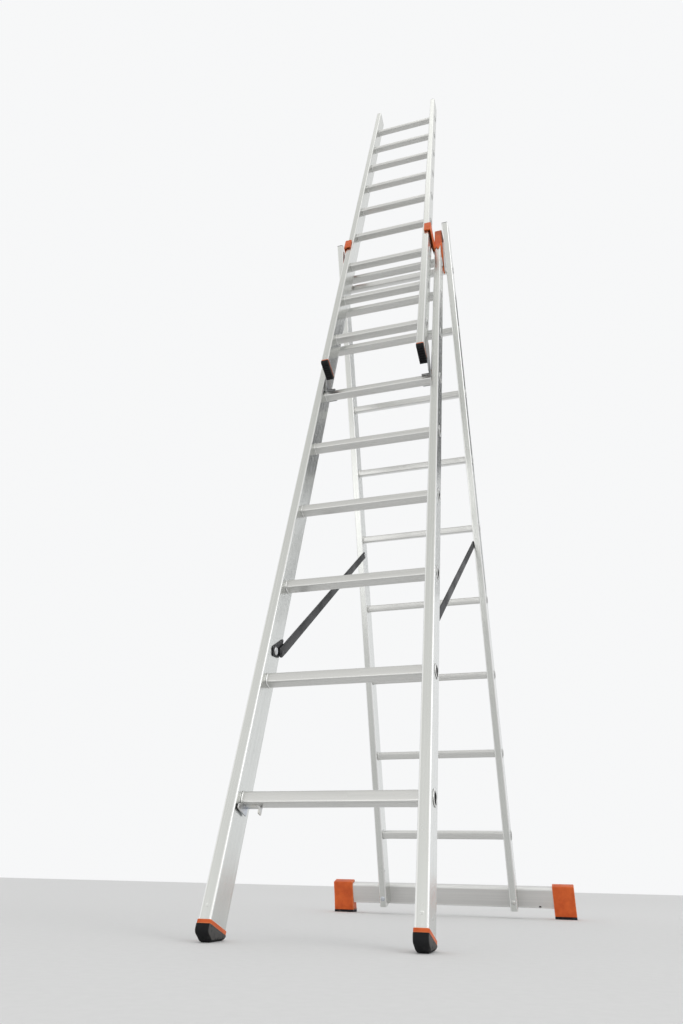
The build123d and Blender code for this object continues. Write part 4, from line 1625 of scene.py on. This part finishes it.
@dataclass
class Struts(Assembly):
    """Folding struts with their pivot bolts, rivets, brackets and bracket bolts."""

    width: float = 25.0
    thickness: float = 4.0
    pivot: Point = (348.18, 1264.55)
    catch: Point = (-572.93, 595.83)
    pivot_x: float = 215.6
    catch_x: float = 178.0
    tab: float = 34.0
    bend_half: float = 9.0
    rear_tip: float = 13.0
    front_tip: float = 11.0
    tip_share: float = 0.985
    edge_share: float = 0.75
    rivet: tuple[Point, ...] = (
        (175.0, 1.8),
        (175.4, 4.2),
        (176.5, 6.2),
        (177.8, 7.0),
        (178.0, 7.0),
        (178.1, 4.0),
        (182.0, 3.8),
    )
    pivot_place: Point = (-27.0, 1292.0)
    pivot_bolt: tuple[Point, ...] = (
        (211.2, 2.8),
        (211.6, 5.6),
        (212.7, 8.2),
        (213.8, 9.0),
        (215.2, 9.0),
        (215.3, 5.0),
        (221.8, 5.0),
    )
    bracket_in: float = 182.4
    bracket_out: float = 184.9
    bracket: tuple[Point, ...] = (
        (-18.0, 594.0),
        (-9.0, 574.0),
        (21.0, 587.3),
        (35.0, 618.5),
        (35.0, 654.0),
    )
    bracket_radii: tuple[float, ...] = (7.0, 6.0, 10.0, 10.0, 4.0)
    bracket_place: Point = (2.0, 594.0)
    bracket_bolt: tuple[Point, ...] = (
        (178.9, 3.0),
        (179.2, 6.0),
        (180.2, 8.8),
        (181.4, 10.0),
        (182.4, 10.0),
        (182.5, 4.0),
        (186.8, 3.8),
    )

    def build(self) -> None:
        """Builds struts, rivets, pivot bolts and brackets."""
        rings, mask = self.strut_rings()
        for side in Side:
            name = f"strut_{side.word}"
            shell = Shell(FLOOR)
            shell.loft(rings * np.array([side.value, 1.0, 1.0]), mask)
            self.settle(shell, name, "bar", name, self.finishes.painted)
            shell = Shell(FLOOR)
            shell.turned(Axis.ACROSS, self.catch, self.rivet, (side,))
            self.settle(shell, f"strut_rivet_{side.word}", "turned", name, self.finishes.rivet)
        self.build_mounts()

    def strut_rings(self) -> tuple[np.ndarray, np.ndarray]:
        """Rings of the right strut.

        A flat rounded section is carried from the pivot to the catch. Its place across eases from the
        rear stile's side to the front stile's between the two tabs, and its width closes to a round tip
        at each end: half width · sqrt(1 - (distance past the pivot / overrun)²).

        Returns:
            Points indexed by ring, point and coordinate, and the edge mask of a ring's points.
        """
        start = np.array(self.pivot)
        end = np.array(self.catch)
        length = np.linalg.norm(end - start)
        along = (end - start) / length
        wide = np.array([-along[1], along[0]])
        tip = np.sin(np.linspace(0.0, np.pi / 2, 7)) * self.tip_share
        bend = np.linspace(-self.bend_half, self.bend_half, 7)
        rear, front = -self.rear_tip * tip[::-1], length + self.front_tip * tip
        stations = np.concatenate([rear, self.tab + bend, length - self.tab + bend, front])
        past = np.where(stations < 0, -stations / self.rear_tip, (stations - length) / self.front_tip)
        half = self.width / 2 * np.sqrt(1 - np.clip(past, 0.0, 1.0) ** 2)[:, None]
        near = stations[:, None] + self.bend_half * np.linspace(-1.0, 1.0, 25) - self.tab
        eased = np.clip(near / (length - 2 * self.tab), 0.0, 1.0).mean(axis=1)
        rim = self.thickness / 2
        across = self.pivot_x + (self.catch_x - self.pivot_x) * eased + rim
        section = rounded(rectangle((-1.0, -1.0), (1.0, 1.0)), 0.3, 3)
        flat = np.sign(section[:, 0]) * (half - rim) + section[:, 0] * rim
        shoulder = np.where(half > rim, flat, section[:, 0] * half)
        path = start + stations[:, None] * along
        x = across[:, None] + section[:, 1] * rim
        rings = np.stack([x, path[:, :1] + wide[0] * shoulder, path[:, 1:] + wide[1] * shoulder], axis=-1)
        mask = (np.abs(section[:, 0] * section[:, 1]) > self.edge_share).astype(float)
        return rings, mask[None, :]

    def build_mounts(self) -> None:
        """Builds the pivot bolts, and the bracket plates on the front stiles with the bolt in each."""
        pivots = Shell(REAR)
        pivots.turned(Axis.ACROSS, self.pivot_place, self.pivot_bolt)
        self.settle(pivots, "strut_pivot_bolts", "turned", "rear_section", self.finishes.plated)
        plates = Shell(FRONT)
        outline = rounded(self.bracket, self.bracket_radii)
        plates.prism(Axis.ACROSS, outline, self.bracket_in, self.bracket_out, bevel=0.5, band=0.6)
        self.settle(plates, "strut_brackets", "plates", "front_section", self.finishes.painted)
        bolts = Shell(FRONT)
        bolts.turned(Axis.ACROSS, self.bracket_place, self.bracket_bolt)
        self.settle(bolts, "bracket_bolts", "turned", "front_section", self.finishes.plated)


def posed(right: np.ndarray, up: np.ndarray, back: np.ndarray, place: Place) -> Matrix:
    """Pose of a light or a camera, which look along their own minus z.

    Args:
        right: Direction of its x.
        up: Direction of its y.
        back: Direction of its z.
        place: Where it stands, in metres.

    Returns:
        The pose.
    """
    pose = np.eye(4)
    pose[:3] = np.stack([right, up, back, place], axis=1)
    return Matrix(pose.tolist())


@dataclass
class Studio:
    """Pale floor, soft lights, a dark screen for the metal and the camera at the photograph's place."""

    floor_half: float = 14.0
    floor_cells: int = 8
    floor_tones: tuple[Colour, Colour] = ((0.70, 0.70, 0.70, 1.0), (0.75, 0.75, 0.75, 1.0))
    sky_behind: Colour = (0.93, 0.94, 0.955, 1.0)
    sky_ahead: Colour = (0.91, 0.91, 0.90, 1.0)
    sky_high: Colour = (0.76, 0.76, 0.745, 1.0)
    sky_lamp: Colour = (1.5, 1.5, 1.47, 1.0)
    sky_seen: Colour = (0.93, 0.935, 0.94, 1.0)
    screen: tuple[Point, ...] = (
        (0.38, 1.6),
        (0.56, 1.6),
        (0.56, 2.45),
        (1.1, 2.45),
        (1.1, 3.95),
        (0.38, 3.95),
    )
    screen_back: float = 1.75
    screen_tone: Colour = (0.03, 0.032, 0.036, 1.0)
    lens: float = 24.632
    position: Place = (0.45328, -2.14180, 0.10254)
    pan: float = 0.300554
    tilt: float = 0.484607
    roll: float = -0.0241571

    def build(self) -> None:
        """Lays the floor and sets the sky, lights and camera."""
        self.lay_floor()
        self.set_sky()
        self.hang_light("key_panel", (4.4, -2.4, 3.6), (0.0, 0.0, 1.2), size=3.0, power=40.0)
        fill = self.hang_light("fill_panel", (-1.0, -4.4, 0.9), (-0.1, 0.4, 1.2), size=1.7, power=7.5)
        fill.visible_diffuse = False
        self.hang_screen()
        self.set_camera()
        bpy.context.scene.view_settings.view_transform = "Standard"

    @staticmethod
    def stand(
        name: str, points: np.ndarray, faces: np.ndarray, finish: str
    ) -> tuple[bpy.types.Object, Nodes]:
        """Makes a flat thing of the studio.

        Args:
            name: Its name.
            points: Its points in metres, one row each.
            faces: Its faces, as point numbers.
            finish: Name of its material.

        Returns:
            The object and the nodes of its material, which are empty.
        """
        mesh = bpy.data.meshes.new(name)
        mesh.from_pydata(points.tolist(), [], faces.tolist())
        mesh.update()
        mesh.materials.append(bpy.data.materials.new(finish))
        return shown(name, mesh), Nodes.of(mesh.materials[0])

    def lay_floor(self) -> None:
        """Lays a flat pale floor: a square grid of points at height zero."""
        reach = np.linspace(-self.floor_half, self.floor_half, self.floor_cells + 1)
        points = np.stack(np.meshgrid(reach, reach, [0.0], indexing="ij"), axis=-1).reshape(-1, 3)
        number = np.arange(len(points)).reshape(len(reach), -1)
        floor, nodes = self.stand("studio_floor", points, Shell.cells(number), "pale_floor")
        speck = nodes.noise(nodes.add("ShaderNodeTexCoord")["Object"], 60.0, 3.0)
        tone = nodes.blend(speck, *self.floor_tones)
        nodes.surface(Base_Color=tone, Roughness=0.8, Specular_IOR_Level=0.2)

    def set_sky(self) -> None:
        """Sets a pale surround with a lit ceiling, plain to the camera."""
        world = bpy.data.worlds.new("studio_surround")
        bpy.context.scene.world = world
        nodes = Nodes.of(world)
        parts = nodes.add("ShaderNodeSeparateXYZ", {0: nodes.add("ShaderNodeTexCoord")["Generated"]})
        height = parts[2]
        low = nodes.blend(nodes.window(parts[1], 0.2, -0.5), self.sky_behind, self.sky_ahead)
        pale = nodes.blend(nodes.window(height, 0.6, 0.97), low, self.sky_high)
        lit = nodes.blend(nodes.window(height, 0.985, 0.997), pale, self.sky_lamp)
        seen = nodes.add("ShaderNodeLightPath")["Is Camera Ray"]
        colour = nodes.blend(seen, lit, self.sky_seen)
        glow = nodes.add("ShaderNodeBackground", {"Color": colour, "Strength": 1.0})[0]
        nodes.add("ShaderNodeOutputWorld", {"Surface": glow})

    def hang_screen(self) -> None:
        """Hangs a dark screen with a tail, out of the camera's sight, that the stiles' sides mirror."""
        points = np.array([(x, self.screen_back, z) for x, z in self.screen])
        screen, nodes = self.stand("dark_screen", points, np.arange(len(points))[None], "dark_cloth")
        screen.visible_camera = False
        nodes.surface(Base_Color=self.screen_tone, Roughness=0.9)

    @staticmethod
    def hang_light(name: str, place: Place, aim: Place, size: float, power: float) -> bpy.types.Object:
        """Hangs a square soft light.

        Args:
            name: Name of the light.
            place: Where it hangs, in metres.
            aim: Point it faces.
            size: Length of its sides.
            power: Its power in watts.

        Returns:
            The light's object.
        """
        light = bpy.data.lights.new(name, "AREA")
        light.size = size
        light.energy = power
        lamp = shown(name, light)
        back = unit(np.subtract(place, aim))
        right = unit(np.cross((0.0, 0.0, 1.0), back))
        lamp.matrix_world = posed(right, np.cross(back, right), back, place)
        return lamp

    def set_camera(self) -> None:
        """Sets the camera: panned about the upright, tilted up, then rolled about its own line of sight."""
        turn = turn_about(2, self.pan) @ turn_about(0, self.tilt) @ turn_about(1, self.roll)
        right, forward, up = turn.T
        camera = bpy.data.cameras.new("camera")
        camera.lens = self.lens
        camera.sensor_width = 36.0
        camera.sensor_fit = "AUTO"
        camera.clip_start = 0.02
        eye = shown("camera", camera)
        eye.matrix_world = posed(right, up, -forward, self.position)
        bpy.context.scene.camera = eye


def main() -> None:
    """Builds the sub-assemblies and the studio."""
    logging.basicConfig(level=logging.INFO, format="%(name)s %(message)s")
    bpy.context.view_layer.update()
    finishes = Finishes()
    front = LadderSection(finishes, "front", FRONT, "front_section", inner=185.0, first_rung=231.0)
    front.punch_up = 23.0
    rear = LadderSection(finishes, "rear", REAR, "rear_section", inner=220.0, first_rung=238.0)
    top = LadderSection(finishes, "top", TOP, "top_section", inner=150.0, first_rung=179.0)
    fittings = [kind(finishes) for kind in (StileEnds, HeadFittings, Hooks, Stabiliser, Struts)]
    for assembly in (front, rear, top, *fittings):
        assembly.build()
    Studio().build()
    bpy.context.view_layer.update()


if __name__ == "__main__":
    main()
